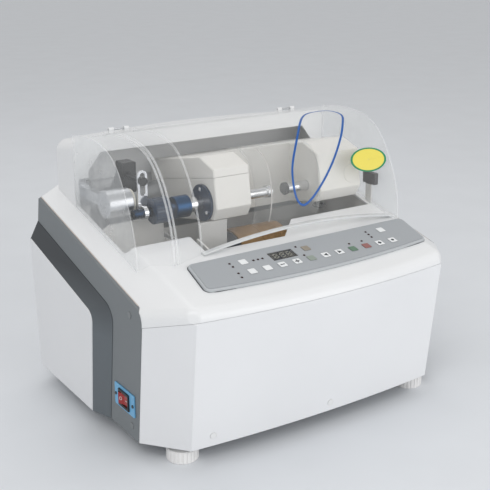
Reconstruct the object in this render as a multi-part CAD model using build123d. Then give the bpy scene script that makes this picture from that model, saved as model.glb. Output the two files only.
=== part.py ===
from build123d import *
import math
import os

# Automatic lens edger: a table-top machine that grinds a spectacle lens to shape.
# Millimetres. X runs to the right, Y to the back and Z up. While the pieces are
# made, depth (y) is measured from the line of the front feet. At the end they all
# move together, so that the origin lies under the middle of the machine.

# Fits that the pieces share
wall = 3.0
seat_gap = 0.3
part_gap = 0.6
running_gap = 0.06
overrun = 5.0
sheet = 2.0
far = 400.0

# Feet
foot_diameter = 44.0
foot_height = 18.0
foot_neck_diameter = 24.0
foot_half_spacing = 202.0
foot_rear_inset = 35.0
foot_groove_count = 24
foot_groove = 2.4
foot_edge = 1.5

# Outline of the housing, as seen from above and from the side
floor_height = 25.0
shoulder_width = 47.0
deck_margin = 5.0
side_low = 24.6
side_high = 3.0
crease_low = -32.5
crease_high = -52.0
middle_low = -42.0
middle_high = -68.0
seam_drop = 27.0
seam_side_drop = 15.0
seam_side_depth = 4.8
rear_foot = 0.6
rear_swell = 14.0
rear_bulge_rise = 18.0
rear_ledge = 9.0
nose_radius = 16.0
band_corner_radius = 22.0

# Deck and shoulders: the deck climbs towards the back
deck_rise = 44.0
deck_slope = 0.239
shoulder_drop = 24.6

# Rear hood
hood_front = 258.0
hood_length = 60.0
jamb_width = 23.0
hood_rise = 150.0
hood_crown = 8.0
hood_slope = 0.17
hood_corner_radius = 18.0
hood_mouth_half_width = 202.0
hood_mouth_rise = 128.0
hood_mouth_cut_width = 20.0
hood_mouth_cut_height = 26.0
jamb_drop = 32.0

# Opening in the deck: wide in front of the hood, narrow in front of the wheels
bay_widening = 18.0
bay_step = 113.0
bay_step_x = -119.0
bay_front = 69.0
bay_front_right = 13.0
bay_shoulder_x = 52.0
bay_shoulder = 108.0
bay_soft = 3.0

# Side walls
band_thickness = 4.0
band_wrap = 2.5
trim_low_front = 107.6
trim_high_front = 85.4
trim_corner_height = 194.5
trim_rear_inset = 6.0
trim_rear_height = 256.2
trim_radius = 26.0
cheek_low_front = 143.3
cheek_high_front = 127.5
cheek_corner_height = 177.8
cheek_rear_inset = 3.0
cheek_top_height = 229.3
cheek_rear_height = 226.0
cheek_radius = 16.0
cheek_proud = 13.0
cheek_edge = 1.2
rear_sheet = 2.5

# Screw caps: depth and height on the bands, width and height on the front
cap_diameter = 9.0
cap_thickness = 2.4
cap_dome = 0.8
cap_edge = 0.4
band_cap_depths = (38.0, 43.0)
band_cap_drop = 26.0
band_cap_low = 43.0
front_cap_places = [(-176.0, 41.0), (14.0, 39.0)]

# Mains switch on the left band
switch_depth = 59.5
switch_height = 75.0
switch_plate_width = 57.0
switch_plate_height = 32.0
switch_plate_thickness = 1.6
switch_frame_width = 29.0
switch_frame_height = 24.0
switch_frame_proud = 2.2
switch_body_width = 27.5
switch_body_height = 21.5
switch_body_depth = 24.0
rocker_width = 23.0
rocker_height = 16.0
rocker_thickness = 7.0
rocker_tilt = 9.0
rocker_well = 12.0
rocker_front = -3.2
rocker_pivot = 5.0
rocker_pin = 2.6
rocker_gap = 1.0
switch_screw_diameter = 4.4
switch_screw_spread = 49.0
switch_screw_head = 1.2

# Control panel, laid on the deck
panel_left_front = -173.0
panel_left_rear = -165.0
panel_left_rear_depth = 45.0
panel_right_front = 210.0
panel_right_front_depth = -14.0
panel_right_rear = 217.0
panel_front = -19.0
panel_bow = 9.0
panel_rear = 51.0
panel_thickness = 4.0
panel_radius = 9.0
panel_edge = 1.2
overlay_margin = 3.0
overlay_thickness = 0.6
key_size = 11.5
key_proud = 0.5
key_radius = 1.2
key_pitch = 24.6
key_first = -91.0
key_row = -1.0
key_row_count = 11
upper_keys = [(-90.0, 23.0), (15.5, 23.6), (157.6, 28.8)]
window_x = -26.5
window_depth = 21.0
window_width = 40.0
window_height = 19.5
window_thickness = 1.6
lamp_places = [
    (-110.0, 25.7), (-109.7, 17.6), (-111.6, 1.3), (-112.6, -8.6), (-73.9, 22.0), (-66.5, 22.1),
    (-59.1, 22.1),
    (3.7, 31.9), (2.1, 9.2), (84.6, 12.5), (107.9, 12.6), (131.3, 31.8), (130.8, 24.3), (130.3, 16.8),
]
lamp_diameter = 3.2
lamp_height = 1.5
board_place = 14.0
board_width = 300.0
board_depth = 44.0
board_thickness = 1.6
board_drop = 16.0
spacer_diameter = 7.0

# Clear cover: its side outline from the lower front edge to the hinge
cover_thickness = 3.0
cover_foot_depth = 64.5
cover_foot_rise = 23.0
cover_rear_gap = 0.8
cover_points = [(68.5, 49.0), (91.0, 104.5), (126.0, 147.0), (170.0, 161.5)]
cover_rear_rise = 158.0
bulge_left_back = 6.0
bulge_crest = -175.0
bulge_crest_width = 5.0
bulge_right = -128.0
bulge_proud = 12.5
bulge_shares = [1.0, 1.0, 1.0, 0.75, 0.25, 0.0]
arch_left = -128.0
arch_inset = 11.0
arch_rise = 15.0
lip_depth = 8.0
lip_thickness = 3.0

# Cover hinge
hinge_setback = 3.5
hinge_lift = 0.6
hinge_radius = 3.0
hinge_pin_radius = 1.4
hinge_spacing = 150.0
hinge_knuckle = 16.0
hinge_ear = 8.0
tab_length = 9.0

# Swing shaft, which also slides sideways with the carriage
swing_setback = 27.0
swing_drop = 15.0
swing_diameter = 25.0
shaft_reach_left = 4.0
shaft_reach_right = 7.0
shaft_edge = 1.0
bracket_thickness = 12.0
bracket_width = 46.0

# Carriage: both halves have the same side outline, which leans forward-up
lens_depth = 150.0
lens_rise = 105.0
carriage_slope = 0.2126
head_left = -73.5
head_right = -13.4
arm_left = 110.0
arm_right = 190.0
bridge_front = 195.0
head_front = 123.5
head_front_rise = 53.4
head_ridge = 161.4
head_ridge_rise = 65.0
head_top_reach = 15.0
head_top_rear_rise = 35.5
head_rear_drop = 6.0
head_soft = 3.0
head_ridge_soft = 6.0
head_chin = 114.0
head_chin_drop = 3.0
head_under = 124.0
head_under_drop = 21.0
head_heel_reach = 7.0
head_rear_reach = 24.0
head_rear_under_drop = 32.0
head_seam_rise = 41.4
head_seam_gap = 0.4
head_edge = 1.5
sleeve_diameter = 40.0
lug_root_share = 0.25
sleeve_left = -160.0
sleeve_right = 180.0
frame_arm_thickness = 14.0
boss_diameter = 36.0
frame_arm_left = -45.0
frame_arm_right = 128.0
arch_diameter = 108.0
arch_depth = 149.0
arch_lift = 27.0
arch_from = -46.0
lug_width = 14.0
lug_drop = 4.0
lug_thickness = 6.0
apron_left = -96.0
apron_right = -50.0
apron_drop = 22.2
apron_height = 51.8
apron_depth = 125.0
apron_thickness = 3.0

# Lens shaft: lens chuck at the right, pattern coupling at the left
shaft_diameter = 14.0
flange_diameter = 54.0
flange_thickness = 4.0
flange_screw_circle = 41.0
flange_screw_diameter = 6.0
flange_screw_count = 3
coupling_diameter = 32.0
coupling_edge = 1.2
collar_diameter = 22.0
collar_right = -89.0
coupling_left = -125.0
coupling_right = -101.0
knob_diameter = 37.0
knob_left = -159.0
knob_right = -134.0
knob_grooves = 20
knob_groove = 2.2
knob_edge = 1.2
tail_diameter = 13.0
tail_left = -187.5
chuck_diameter = 19.0
chuck_length = 10.0
chuck_right = 44.0
pad_length = 6.0
pad_left = 66.0
quill_diameter = 16.0
quill_right = 150.0
pad_stem_diameter = 8.0
pad_stem_length = 20.0
disc_diameter = 29.0
disc_x = 172.5
disc_rise = 17.0

# Pattern side of the carriage
drive_left = -174.0
drive_right = -153.0
drive_front = 204.0
drive_rear = 226.0
drive_rise = 16.0
drive_height = 44.0
drive_edge = 1.2
link_x = -167.0
link_front = 158.0
link_width = 15.0
link_length = 58.0
link_slot = 8.0
link_slot_length = 32.0
link_thickness = 3.0
link_screw_diameter = 12.0
hook_left = -173.0
hook_width = 6.0

# Size adjustment on the left wall: geared motor and its pale cam
size_depth = 178.0
size_rise = 12.0
size_gap = 2.0
size_right = -180.0
size_diameter = 40.0
size_edge = 1.2
size_cap_length = 5.0
mount_half_height = 8.0
cam_diameter = 33.0
cam_thickness = 4.5
cam_lift = 1.5
size_shaft_diameter = 6.0

# Wet chamber and grinding wheels
tub_left = -110.0
tub_front = 54.0
tub_flange = 5.0
tub_right = 208.0
tub_rear_gap = 7.0
wheel_clearance = 14.0
tub_rear_rise = 43.0
tub_weir_rise = 51.0
tub_corner = 12.0
tub_corner_rise = 60.0
wheel_depth = 165.0
wheel_height = 195.0
wheel_diameter = 100.0
spindle_diameter = 20.0
nut_diameter = 34.0
nut_length = 10.0
hub_radius = 30.0
guard_left = -38.0
rough_left = -19.0
bevel_left = 21.0
polish_left = 43.0
wheel_right = 66.0
bevel_angle_depth = 2.0
bevel_groove_width = 7.0
bearing_left = -130.0
bearing_right = 208.8
bearing_thickness = 13.0
bearing_block = 40.0
pulley_left = 227.0
pulley_width = 14.0
pulley_diameter = 50.0
pulley_rim = 4.0
pulley_lip = 2.0
motor_depth = 228.0
motor_drop = 7.0
motor_diameter = 92.0
motor_foot_share = 0.25
motor_edge = 2.5
motor_cap = 14.0
motor_left = 20.0
motor_right = 196.0
motor_shaft_diameter = 14.0
motor_pulley_diameter = 60.0
motor_fin_count = 28
motor_fin_depth = 2.5
belt_thickness = 2.6
belt_width = 9.0
nozzle_x = 119.0
nozzle_depth = 128.0
nozzle_ring = 8.0
nozzle_tube = 2.0
nozzle_stem = 3.0
nozzle_drop = 6.5

# Pattern recess and the shoe that the pattern rests on
recess_right = -117.5
recess_rear = 186.0
shoe_x = -137.0
shoe_width = 10.0
shoe_length = 34.0
shoe_height = 12.0
shoe_top_share = 0.25
shoe_block_width = 30.0
shoe_block_height = 4.0

# Cover interlock at the right of the bay
interlock_inset = 12.5
interlock_depth = 118.0
interlock_width = 7.0
interlock_length = 28.0
interlock_height = 18.0
interlock_rise = 13.0
stem_length = 13.0

# Frame, tray, supply and rear fittings
frame_gap = 2.6
frame_rise = 35.0
frame_front = 42.0
frame_rear_gap = 11.0
weir_front = 110.0
tray_rim = 12.0
supply_left = -205.0
supply_width = 96.0
supply_depth = 92.0
supply_height = 66.0
supply_vent_share = 0.25
supply_vent_count = 4
supply_front = 150.0
vent_count = 9
vent_width = 52.0
vent_height = 4.0
vent_pitch = 10.0
vent_x = 120.0
vent_low = 70.0
inlet_x = -170.0
inlet_height = 90.0
inlet_width = 28.0
inlet_tall = 33.0
inlet_flange = 6.0
inlet_depth = 20.0
pin_places = [(-7.0, -2.0), (0.0, 4.0), (7.0, -2.0)]
pin_thickness = 1.0
pin_width = 4.0
hose_x = -60.0
water_x = -20.0
hose_inside = 12.0
hose_rise = 15.0
hose_diameter = 18.0
hose_wall = 2.5
hose_reach = 24.0
barb_pitch = 6.0
barb_lift = 1.2
barb_count = 3

# Heights above the floor, built up from that of the wheels
deck_height = wheel_height + deck_rise
seam_height = deck_height - seam_drop
seam_side_height = seam_height - seam_side_drop
rear_bulge_height = seam_height + rear_bulge_rise
hood_side_height = deck_height + hood_rise
hood_mouth_height = deck_height + hood_mouth_rise
lens_height = wheel_height + lens_rise
swing_height = lens_height - swing_drop
head_front_height = lens_height + head_front_rise
head_ridge_height = lens_height + head_ridge_rise
head_top_rear_height = lens_height + head_top_rear_rise
head_chin_height = lens_height - head_chin_drop
head_under_height = lens_height - head_under_drop
head_rear_height = lens_height - head_rear_under_drop
head_seam_height = lens_height + head_seam_rise
arch_height = wheel_height + arch_lift
apron_top = lens_height - apron_drop
apron_bottom = apron_top - apron_height
drive_low = lens_height + drive_rise
drive_high = drive_low + drive_height
size_height = lens_height + size_rise
interlock_top = lens_height + interlock_rise
tub_floor = wheel_height - wheel_diameter / 2 - wheel_clearance
tub_rear_height = wheel_height + tub_rear_rise
tub_weir_height = wheel_height + tub_weir_rise
motor_height = tub_floor - motor_drop - motor_diameter / 2
frame_top = wheel_height + frame_rise
hose_height = tub_floor + hose_rise
band_cap_places = list(zip(band_cap_depths, (frame_top - band_cap_drop, band_cap_low)))

# Depths, built up from the front of the hood
hood_rear = hood_front + hood_length
rear_top = hood_rear + rear_ledge
rear_low = rear_top + rear_foot
rear_bulge = rear_top + rear_swell
swing_depth = hood_front + swing_setback
head_rear = swing_depth + head_rear_reach
head_heel = swing_depth + head_heel_reach
head_top_rear = swing_depth + head_top_reach
tub_rear = hood_front - tub_rear_gap
frame_rear = rear_top - frame_rear_gap
foot_rear_depth = rear_top - foot_rear_inset
trim_rear_depth = rear_bulge - trim_rear_inset
cheek_top_rear = rear_bulge - cheek_rear_inset

# Widths, built up from the mouth of the hood
deck_half_width = hood_mouth_half_width + deck_margin
crease_half_width = deck_half_width
band_half_width = deck_half_width + shoulder_width
hood_half_width = hood_mouth_half_width + jamb_width
bay_left = -hood_mouth_half_width - bay_widening
cover_half_width = hood_half_width
arch_right = cover_half_width - arch_inset
swing_left = -hood_mouth_half_width - shaft_reach_left
swing_right = hood_mouth_half_width + shaft_reach_right
size_left = bay_left + size_gap
interlock_x = hood_half_width - interlock_inset
frame_half_width = band_half_width - band_thickness - frame_gap

# Side outline of the clear cover, as (depth, height)
cover_outline = [(cover_foot_depth, deck_height + cover_foot_rise)]
cover_outline += [(depth, deck_height + rise) for depth, rise in cover_points]
cover_outline.append((hood_front - cover_rear_gap, deck_height + cover_rear_rise))
link_low = lens_height
link_high = lens_height + link_length


# Shapes shared by several pieces


def deck_at(depth):
    """Height of the deck's surface at a depth."""
    return deck_height + deck_slope * depth


def edge_at(depth):
    """Height of the shoulder's outer edge at a depth."""
    return deck_at(depth) - shoulder_drop


def rear_at(height):
    """Depth of the rear wall's outside at a height below its bulge."""
    share = (height - floor_height) / (rear_bulge_height - floor_height)
    return rear_low + share * (rear_bulge - rear_low)


def block(x_from, x_to, y_from, y_to, z_from, z_to):
    """A box between two corners."""
    size = Box(x_to - x_from, y_to - y_from, z_to - z_from)
    return Pos((x_from + x_to) / 2, (y_from + y_to) / 2, (z_from + z_to) / 2) * size


def rod_x(x_from, x_to, depth, height, diameter):
    """A round rod along X."""
    face = Plane.YZ.offset(x_from) * Pos(depth, height) * Circle(diameter / 2)
    return extrude(face, amount=x_to - x_from)


def slab_x(x_from, x_to, face):
    """A side outline, drawn as (depth, height), made solid between two widths."""
    return extrude(Plane.YZ.offset(x_from) * face, amount=x_to - x_from)


def outline(points, radii=0.0):
    """A flat shape through corner points, each rounded by its radius."""
    if radii == 0.0:
        return make_face(Polyline(*points, close=True))
    return make_face(FilletPolyline(*points, radius=radii, close=True))


def rise_of(edge):
    """How far an edge climbs from one end to the other."""
    return abs(edge.end_point().Z - edge.start_point().Z)


def one_solid(shape):
    """The same shape as a single solid where it holds only one."""
    solids = shape.solids()
    return solids[0] if len(solids) == 1 else Compound(children=solids)


def mirrored(shape):
    """The same shape on the other side of the machine."""
    return mirror(shape, about=Plane.YZ)


# Housing outlines


def plan(height, inset):
    """The housing seen from above, cut at a height and drawn in by an inset."""
    lean = (height - floor_height) / (seam_height - floor_height)
    side = side_low + lean * (side_high - side_low)
    crease = crease_low + lean * (crease_high - crease_low)
    middle = middle_low + lean * (middle_high - middle_low)
    back = rear_bulge + overrun
    left, right = -band_half_width, band_half_width
    edges = [
        Line((left, back), (left, side)),
        Line((left, side), (-crease_half_width, crease)),
        ThreePointArc((-crease_half_width, crease), (0, middle), (crease_half_width, crease)),
        Line((crease_half_width, crease), (right, side)),
        Line((right, side), (right, back)),
        Line((right, back), (left, back)),
    ]
    face = make_face(edges)
    if inset:
        face = offset(face, -inset, kind=Kind.INTERSECTION)
    return Pos(0, 0, height) * face


def hull(inset):
    """The housing's upright body before its top and rear are cut."""
    low = floor_height - (overrun if inset else 0.0)
    top = deck_at(rear_bulge) + overrun
    return loft([plan(low, inset), plan(top, inset)], ruled=True)


def roof(drop, side_inset=0.0):
    """Everything under the deck and shoulders, lowered by a drop."""
    start = middle_high - foot_diameter
    half = band_half_width - side_inset
    rise = deck_slope * start
    shoulder_slope = shoulder_drop / (band_half_width - deck_half_width)
    edge = deck_height - shoulder_drop - drop + side_inset * shoulder_slope
    points = [
        (-half, floor_height - far),
        (-half, edge + rise),
        (-deck_half_width, deck_height - drop + rise),
        (deck_half_width, deck_height - drop + rise),
        (half, edge + rise),
        (half, floor_height - far),
    ]
    face = Plane.XZ.offset(-start) * outline(points)
    length = (rear_bulge + far - start) * math.hypot(1, deck_slope)
    return extrude(face, amount=length, dir=(0, 1, deck_slope))


def band_outline(grow):
    """Side outline of the grey side walls, made larger by an amount."""
    points = [
        (side_low, floor_height),
        (side_high, edge_at(side_high) + band_wrap),
        (rear_top, edge_at(rear_top) + band_wrap),
        (rear_bulge, rear_bulge_height),
        (rear_low, floor_height),
    ]
    face = outline(points, [0, band_corner_radius, 0, 0, 0])
    return offset(face, grow, kind=Kind.INTERSECTION)


def rear_outline():
    """Side outline that trims the housing's back."""
    front = middle_high - foot_diameter
    points = [
        (front, floor_height),
        (front, deck_at(rear_top) + foot_diameter),
        (rear_top, deck_at(rear_top) + foot_diameter),
        (rear_top, edge_at(rear_top)),
        (rear_bulge, rear_bulge_height),
        (rear_low, floor_height),
    ]
    return outline(points)


def front_outline(grow):
    """Side outline of the region that the front panel fills."""
    front = middle_high - foot_diameter
    points = [
        (front, floor_height),
        (front, seam_height),
        (crease_high, seam_height),
        (seam_side_depth, seam_side_height),
        (side_low, floor_height),
    ]
    return offset(outline(points), grow, kind=Kind.INTERSECTION)


def cheek_outline(grow):
    """Side outline of the proud white side panel."""
    points = [
        (cheek_low_front, floor_height),
        (cheek_high_front, cheek_corner_height),
        (cheek_top_rear, cheek_top_height),
        (rear_at(cheek_rear_height), cheek_rear_height),
        (rear_low, floor_height),
    ]
    face = outline(points, [0, cheek_radius, 0, 0, 0])
    return offset(face, grow, kind=Kind.INTERSECTION) if grow else face


def trim_outline():
    """Side outline of the dark sloping frame where it meets the band."""
    points = [
        (trim_low_front, floor_height),
        (trim_high_front, trim_corner_height),
        (trim_rear_depth, trim_rear_height),
        (rear_bulge, rear_bulge_height),
        (rear_low, floor_height),
    ]
    return outline(points, [0, trim_radius, 0, 0, 0])


def is_soft(edge):
    """Whether an edge is one of the rounded ones round the front and the deck."""
    middle = edge.center()
    front_top = middle.Y < 0 and middle.Z > seam_height
    at_crease = abs(abs(middle.X) - crease_half_width) < overrun
    return front_top or (at_crease and edge.length > deck_half_width)


# Housing body and its hollow
housing = hull(0.0) & slab_x(-far, far, rear_outline()) & roof(0.0)
housing = fillet([edge for edge in housing.edges() if is_soft(edge)], nose_radius)
rear_hollow = offset(rear_outline(), -wall, kind=Kind.INTERSECTION)
hollow = hull(wall) & slab_x(-far, far, rear_hollow) & roof(wall, wall)
inner_front = [edge for edge in hollow.edges() if is_soft(edge) and edge.center().Y < 0]
hollow = fillet(inner_front, nose_radius - wall)


# Front panel with its two screw caps
def front_hole(x, height, diameter):
    """A round rod through the front wall, along Y."""
    face = Plane.XZ.offset(-side_high) * Pos(x, height) * Circle(diameter / 2)
    return extrude(face, amount=far)


front_panel = (housing - hull(wall)) & slab_x(-far, far, front_outline(-seat_gap / 2))
cap_skin = hull(-cap_dome) - hull(wall)
front_caps = []
for x, height in front_cap_places:
    front_panel -= front_hole(x, height, cap_diameter + seat_gap)
    front_caps.append(cap_skin & front_hole(x, height, cap_diameter))

# Side walls: band, dark sloping frame and proud white panel
band_inner = band_half_width - band_thickness
side_band = slab_x(band_inner, band_half_width, band_outline(-seat_gap / 2)) & roof(0.0)
band_caps = []
for depth, height in band_cap_places:
    seat = band_half_width - cap_thickness
    side_band -= rod_x(seat, far, depth, height, cap_diameter + seat_gap)
    cap = rod_x(seat, band_half_width + cap_dome, depth, height, cap_diameter)
    band_caps.append(chamfer(cap.edges().sort_by(Axis.X)[-1], cap_edge))
bevel_seat = band_half_width + seat_gap
cheek_face = band_half_width + cheek_proud
side_bevel = loft([
    Plane.YZ.offset(bevel_seat) * trim_outline(),
    Plane.YZ.offset(cheek_face - cheek_edge) * cheek_outline(cheek_edge),
], ruled=True)
side_bevel -= slab_x(0, far, cheek_outline(seat_gap))
side_bevel &= slab_x(0, far, rear_outline())
side_panel = slab_x(bevel_seat, cheek_face, cheek_outline(0.0))
cheek_rim = side_panel.faces().sort_by(Axis.X)[-1].edges()
side_panel = chamfer(cheek_rim, cheek_edge)
left_band = mirrored(side_band)

# Hood: a tall moulding across the back, open at the front
def hood_block(inset, front, rear):
    """The hood's outside, drawn in by an inset, between two depths."""
    half = hood_half_width - inset
    side = hood_side_height - inset
    low = deck_height
    edges = [
        Line((-half, low), (-half, side)),
        ThreePointArc((-half, side), (0, side + hood_crown), (half, side)),
        Line((half, side), (half, low)),
        Line((half, low), (-half, low)),
    ]
    face = Plane.XZ.offset(-front) * Pos(0, -hood_slope * (front - hood_front)) * make_face(edges)
    length = (rear - front) * math.hypot(1, hood_slope)
    body = extrude(face, amount=length, dir=(0, 1, -hood_slope))
    corners = [
        edge for edge in body.edges()
        if abs(abs(edge.center().X) - half) < wall
        and edge.center().Z > side - hood_crown - 2 * wall
        and abs(edge.end_point().Y - edge.start_point().Y) > overrun
    ]
    return fillet(corners, hood_corner_radius - inset)


hood = hood_block(0.0, hood_front, hood_rear)
hood_inside = hood_block(wall, hood_front + wall, hood_rear - wall)
mouth_low = floor_height
mouth_side_height = hood_mouth_height - hood_mouth_cut_height
mouth_top_half_width = hood_mouth_half_width - hood_mouth_cut_width
mouth = outline([
    (-hood_mouth_half_width, mouth_low),
    (-hood_mouth_half_width, mouth_side_height),
    (-mouth_top_half_width, hood_mouth_height),
    (mouth_top_half_width, hood_mouth_height),
    (hood_mouth_half_width, mouth_side_height),
    (hood_mouth_half_width, mouth_low),
], [0, bay_soft, bay_soft, bay_soft, bay_soft, 0])
mouth_hole = extrude(Plane.XZ.offset(-hood_front + overrun) * mouth, amount=-(wall + 2 * overrun))

# Opening in the deck
bay_outline = outline([
    (bay_left, bay_step), (bay_step_x, bay_step), (bay_step_x, bay_front), (bay_front_right, bay_front),
    (bay_shoulder_x, bay_shoulder), (hood_mouth_half_width, bay_shoulder),
    (hood_mouth_half_width, hood_front + wall), (-hood_mouth_half_width, hood_front + wall),
    (-hood_mouth_half_width, hood_front), (bay_left, hood_front),
], [bay_soft] * 6 + [0] * 4)
bay_hole = extrude(Pos(0, 0, seam_height) * bay_outline, amount=deck_at(hood_rear) - seam_height)

# Top cover: deck, shoulders and hood in one moulding
top_cover = (housing + hood) - hollow - hood_inside - mouth_hole - bay_hole
top_cover -= slab_x(-far, far, front_outline(seat_gap / 2))
top_cover += block(
    bay_left - wall, -hood_mouth_half_width, hood_front, hood_front + wall,
    deck_at(hood_front) - jamb_drop, deck_at(hood_front),
)
band_room = slab_x(band_inner - seat_gap, far, band_outline(seat_gap / 2))
top_cover -= band_room
top_cover -= mirrored(band_room)
top_cover -= block(-far, far, rear_top - 2 * wall, far, 0, edge_at(rear_top) + seat_gap)
top_cover -= block(-far, far, -far, far, 0, seam_side_height)

# Rear wall: a bent plate with louvres and round holes
thick = rear_sheet
rear_points = [
    (rear_low, floor_height),
    (rear_bulge, rear_bulge_height),
    (rear_top, edge_at(rear_top)),
    (rear_top - thick, edge_at(rear_top)),
    (rear_bulge - thick, rear_bulge_height),
    (rear_low - thick, floor_height),
]
plate_half = band_inner - seat_gap
rear_panel = slab_x(-plate_half, plate_half, outline(rear_points))
for index in range(vent_count):
    low = vent_low + index * vent_pitch
    rear_panel -= block(
        vent_x - vent_width, vent_x + vent_width, rear_low - far, far, low, low + vent_height,
    )
inlet_hole = block(
    inlet_x - inlet_width / 2 - seat_gap, inlet_x + inlet_width / 2 + seat_gap, rear_low - far, far,
    inlet_height - inlet_tall / 2 - seat_gap, inlet_height + inlet_tall / 2 + seat_gap,
)
rear_panel -= inlet_hole


def rod_y(y_from, y_to, x, height, diameter):
    """A round rod along Y."""
    face = Plane.XZ.offset(-y_from) * Pos(x, height) * Circle(diameter / 2)
    return extrude(face, amount=y_from - y_to)


def rod_z(x, depth, z_from, z_to, diameter):
    """A round rod along Z."""
    return extrude(Pos(x, depth, z_from) * Circle(diameter / 2), amount=z_to - z_from)


drain_hole = rod_y(rear_low - far, far, hose_x, hose_height, hose_diameter + 2 * seat_gap)
supply_hole = rod_y(rear_low - far, far, water_x, hose_height, hose_diameter + 2 * seat_gap)
rear_panel -= drain_hole
rear_panel -= supply_hole


def hose_barb(x, front):
    """A pipe with a ribbed end for a hose, standing out of the back wall."""
    seat = rear_at(hose_height + hose_diameter / 2 + wall) + seat_gap
    end = seat + hose_reach
    body = rod_y(front, end, x, hose_height, hose_diameter)
    body += rod_y(seat, seat + wall, x, hose_height, hose_diameter + 2 * wall)
    for index in range(barb_count):
        place = end - (index + 1) * barb_pitch
        ring = Plane.XZ.offset(-place) * Pos(x, hose_height) * Circle(hose_diameter / 2 + barb_lift)
        tip = Plane.XZ.offset(-place - wall) * Pos(x, hose_height) * Circle(hose_diameter / 2)
        body += loft([ring, tip])
    return body - rod_y(front - overrun, end + overrun, x, hose_height, hose_diameter - 2 * hose_wall)


tub_back_face = tub_rear + seat_gap
drain_outlet = hose_barb(hose_x, tub_back_face)
water_inlet = hose_barb(water_x, rear_at(hose_height) - hose_inside)

# Mains inlet: a flanged socket with three flat pins
inlet_seat = rear_at(inlet_height)
inlet_back = rear_at(inlet_height + inlet_tall / 2 + inlet_flange) + seat_gap
power_inlet = block(
    inlet_x - inlet_width / 2, inlet_x + inlet_width / 2, inlet_seat - inlet_depth, inlet_back,
    inlet_height - inlet_tall / 2, inlet_height + inlet_tall / 2,
)
power_inlet += block(
    inlet_x - inlet_width / 2 - inlet_flange, inlet_x + inlet_width / 2 + inlet_flange, inlet_back,
    inlet_back + sheet,
    inlet_height - inlet_tall / 2 - inlet_flange, inlet_height + inlet_tall / 2 + inlet_flange,
)
power_inlet -= block(
    inlet_x - inlet_width / 2 + wall, inlet_x + inlet_width / 2 - wall,
    inlet_seat - inlet_depth + wall, far,
    inlet_height - inlet_tall / 2 + 2 * wall, inlet_height + inlet_tall / 2 - 2 * wall,
)
for x, height in pin_places:
    power_inlet += block(
        inlet_x + x - pin_thickness, inlet_x + x + pin_thickness, inlet_seat - inlet_depth + sheet,
        inlet_seat,
        inlet_height + height - pin_width / 2, inlet_height + height + pin_width / 2,
    )

# Base tray and feet
tray_half = band_inner - seat_gap
tray_plan = plan(floor_height, wall + seat_gap)
tray_trim = block(-tray_half, tray_half, -far, rear_low - rear_sheet - seat_gap, 0, far)
base_tray = extrude(tray_plan, amount=tray_rim) & tray_trim
inner_plan = plan(floor_height, wall + seat_gap + sheet)
inner_trim = block(
    -tray_half + sheet, tray_half - sheet, -far, rear_low - rear_sheet - seat_gap - sheet, 0, far,
)
base_tray -= Pos(0, 0, wall) * (extrude(inner_plan, amount=tray_rim) & inner_trim)
foot_places = [(x, y) for x in (-foot_half_spacing, foot_half_spacing) for y in (0, foot_rear_depth)]


def make_foot(x, y):
    """A ribbed levelling foot on its neck."""
    body = rod_z(x, y, 0, foot_height, foot_diameter)
    body = chamfer(body.edges().filter_by(GeomType.CIRCLE), foot_edge)
    for index in range(foot_groove_count):
        angle = math.tau * index / foot_groove_count
        px = x + foot_diameter / 2 * math.cos(angle)
        py = y + foot_diameter / 2 * math.sin(angle)
        body -= rod_z(px, py, 0, foot_height, foot_groove)
    return body + rod_z(x, y, foot_height, floor_height - part_gap / 2, foot_neck_diameter)


feet = [make_foot(x, y) for x, y in foot_places]

# Chassis frame: folded sheet that carries the tub, the bearings and the swing shaft
frame_low = floor_height + wall + seat_gap
frame_inner = frame_half_width - sheet
chassis_frame = block(-frame_half_width, frame_half_width, frame_front, frame_rear, frame_low, frame_top)
chassis_frame -= block(-frame_inner, frame_inner, -far, far, 0, frame_top - sheet)
tub_room = block(
    tub_left - seat_gap, tub_right + seat_gap, tub_front - seat_gap, tub_rear + seat_gap, 0, far,
)
chassis_frame -= tub_room
frame_roof = hull(wall + seat_gap) & roof(wall + seat_gap, wall)
chassis_frame &= frame_roof

# Wet tub under the deck opening
deck_under = roof(wall + seat_gap)
tub = block(tub_left, tub_right, tub_front, tub_rear, tub_floor, far)
tub_corners = [edge for edge in tub.edges() if rise_of(edge) > tub_corner_rise]
tub = fillet(tub_corners, tub_corner)
tub_inside = block(
    tub_left + wall, tub_right - wall, tub_front + wall, tub_rear - wall, tub_floor + wall,
    far + wall,
)
inside_corners = [edge for edge in tub_inside.edges() if rise_of(edge) > tub_corner_rise]
tub_inside = fillet(inside_corners, tub_corner - wall)
flange_low = frame_top + seat_gap
tub += block(
    tub_left - tub_flange, tub_right + tub_flange, tub_front - tub_flange, tub_rear + tub_flange,
    flange_low, flange_low + sheet,
)
splash_tub = (tub - tub_inside) & deck_under
splash_tub -= block(-far, far, tub_rear - 2 * wall, far, tub_rear_height, far)
splash_tub -= block(-far, tub_left + 2 * wall, weir_front, far, tub_weir_height, far)
splash_tub -= rod_x(-far, far, wheel_depth, wheel_height, spindle_diameter + 2 * wall)
splash_tub -= rod_y(tub_rear - 2 * wall, far, hose_x, hose_height, hose_diameter - 2 * hose_wall)

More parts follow.
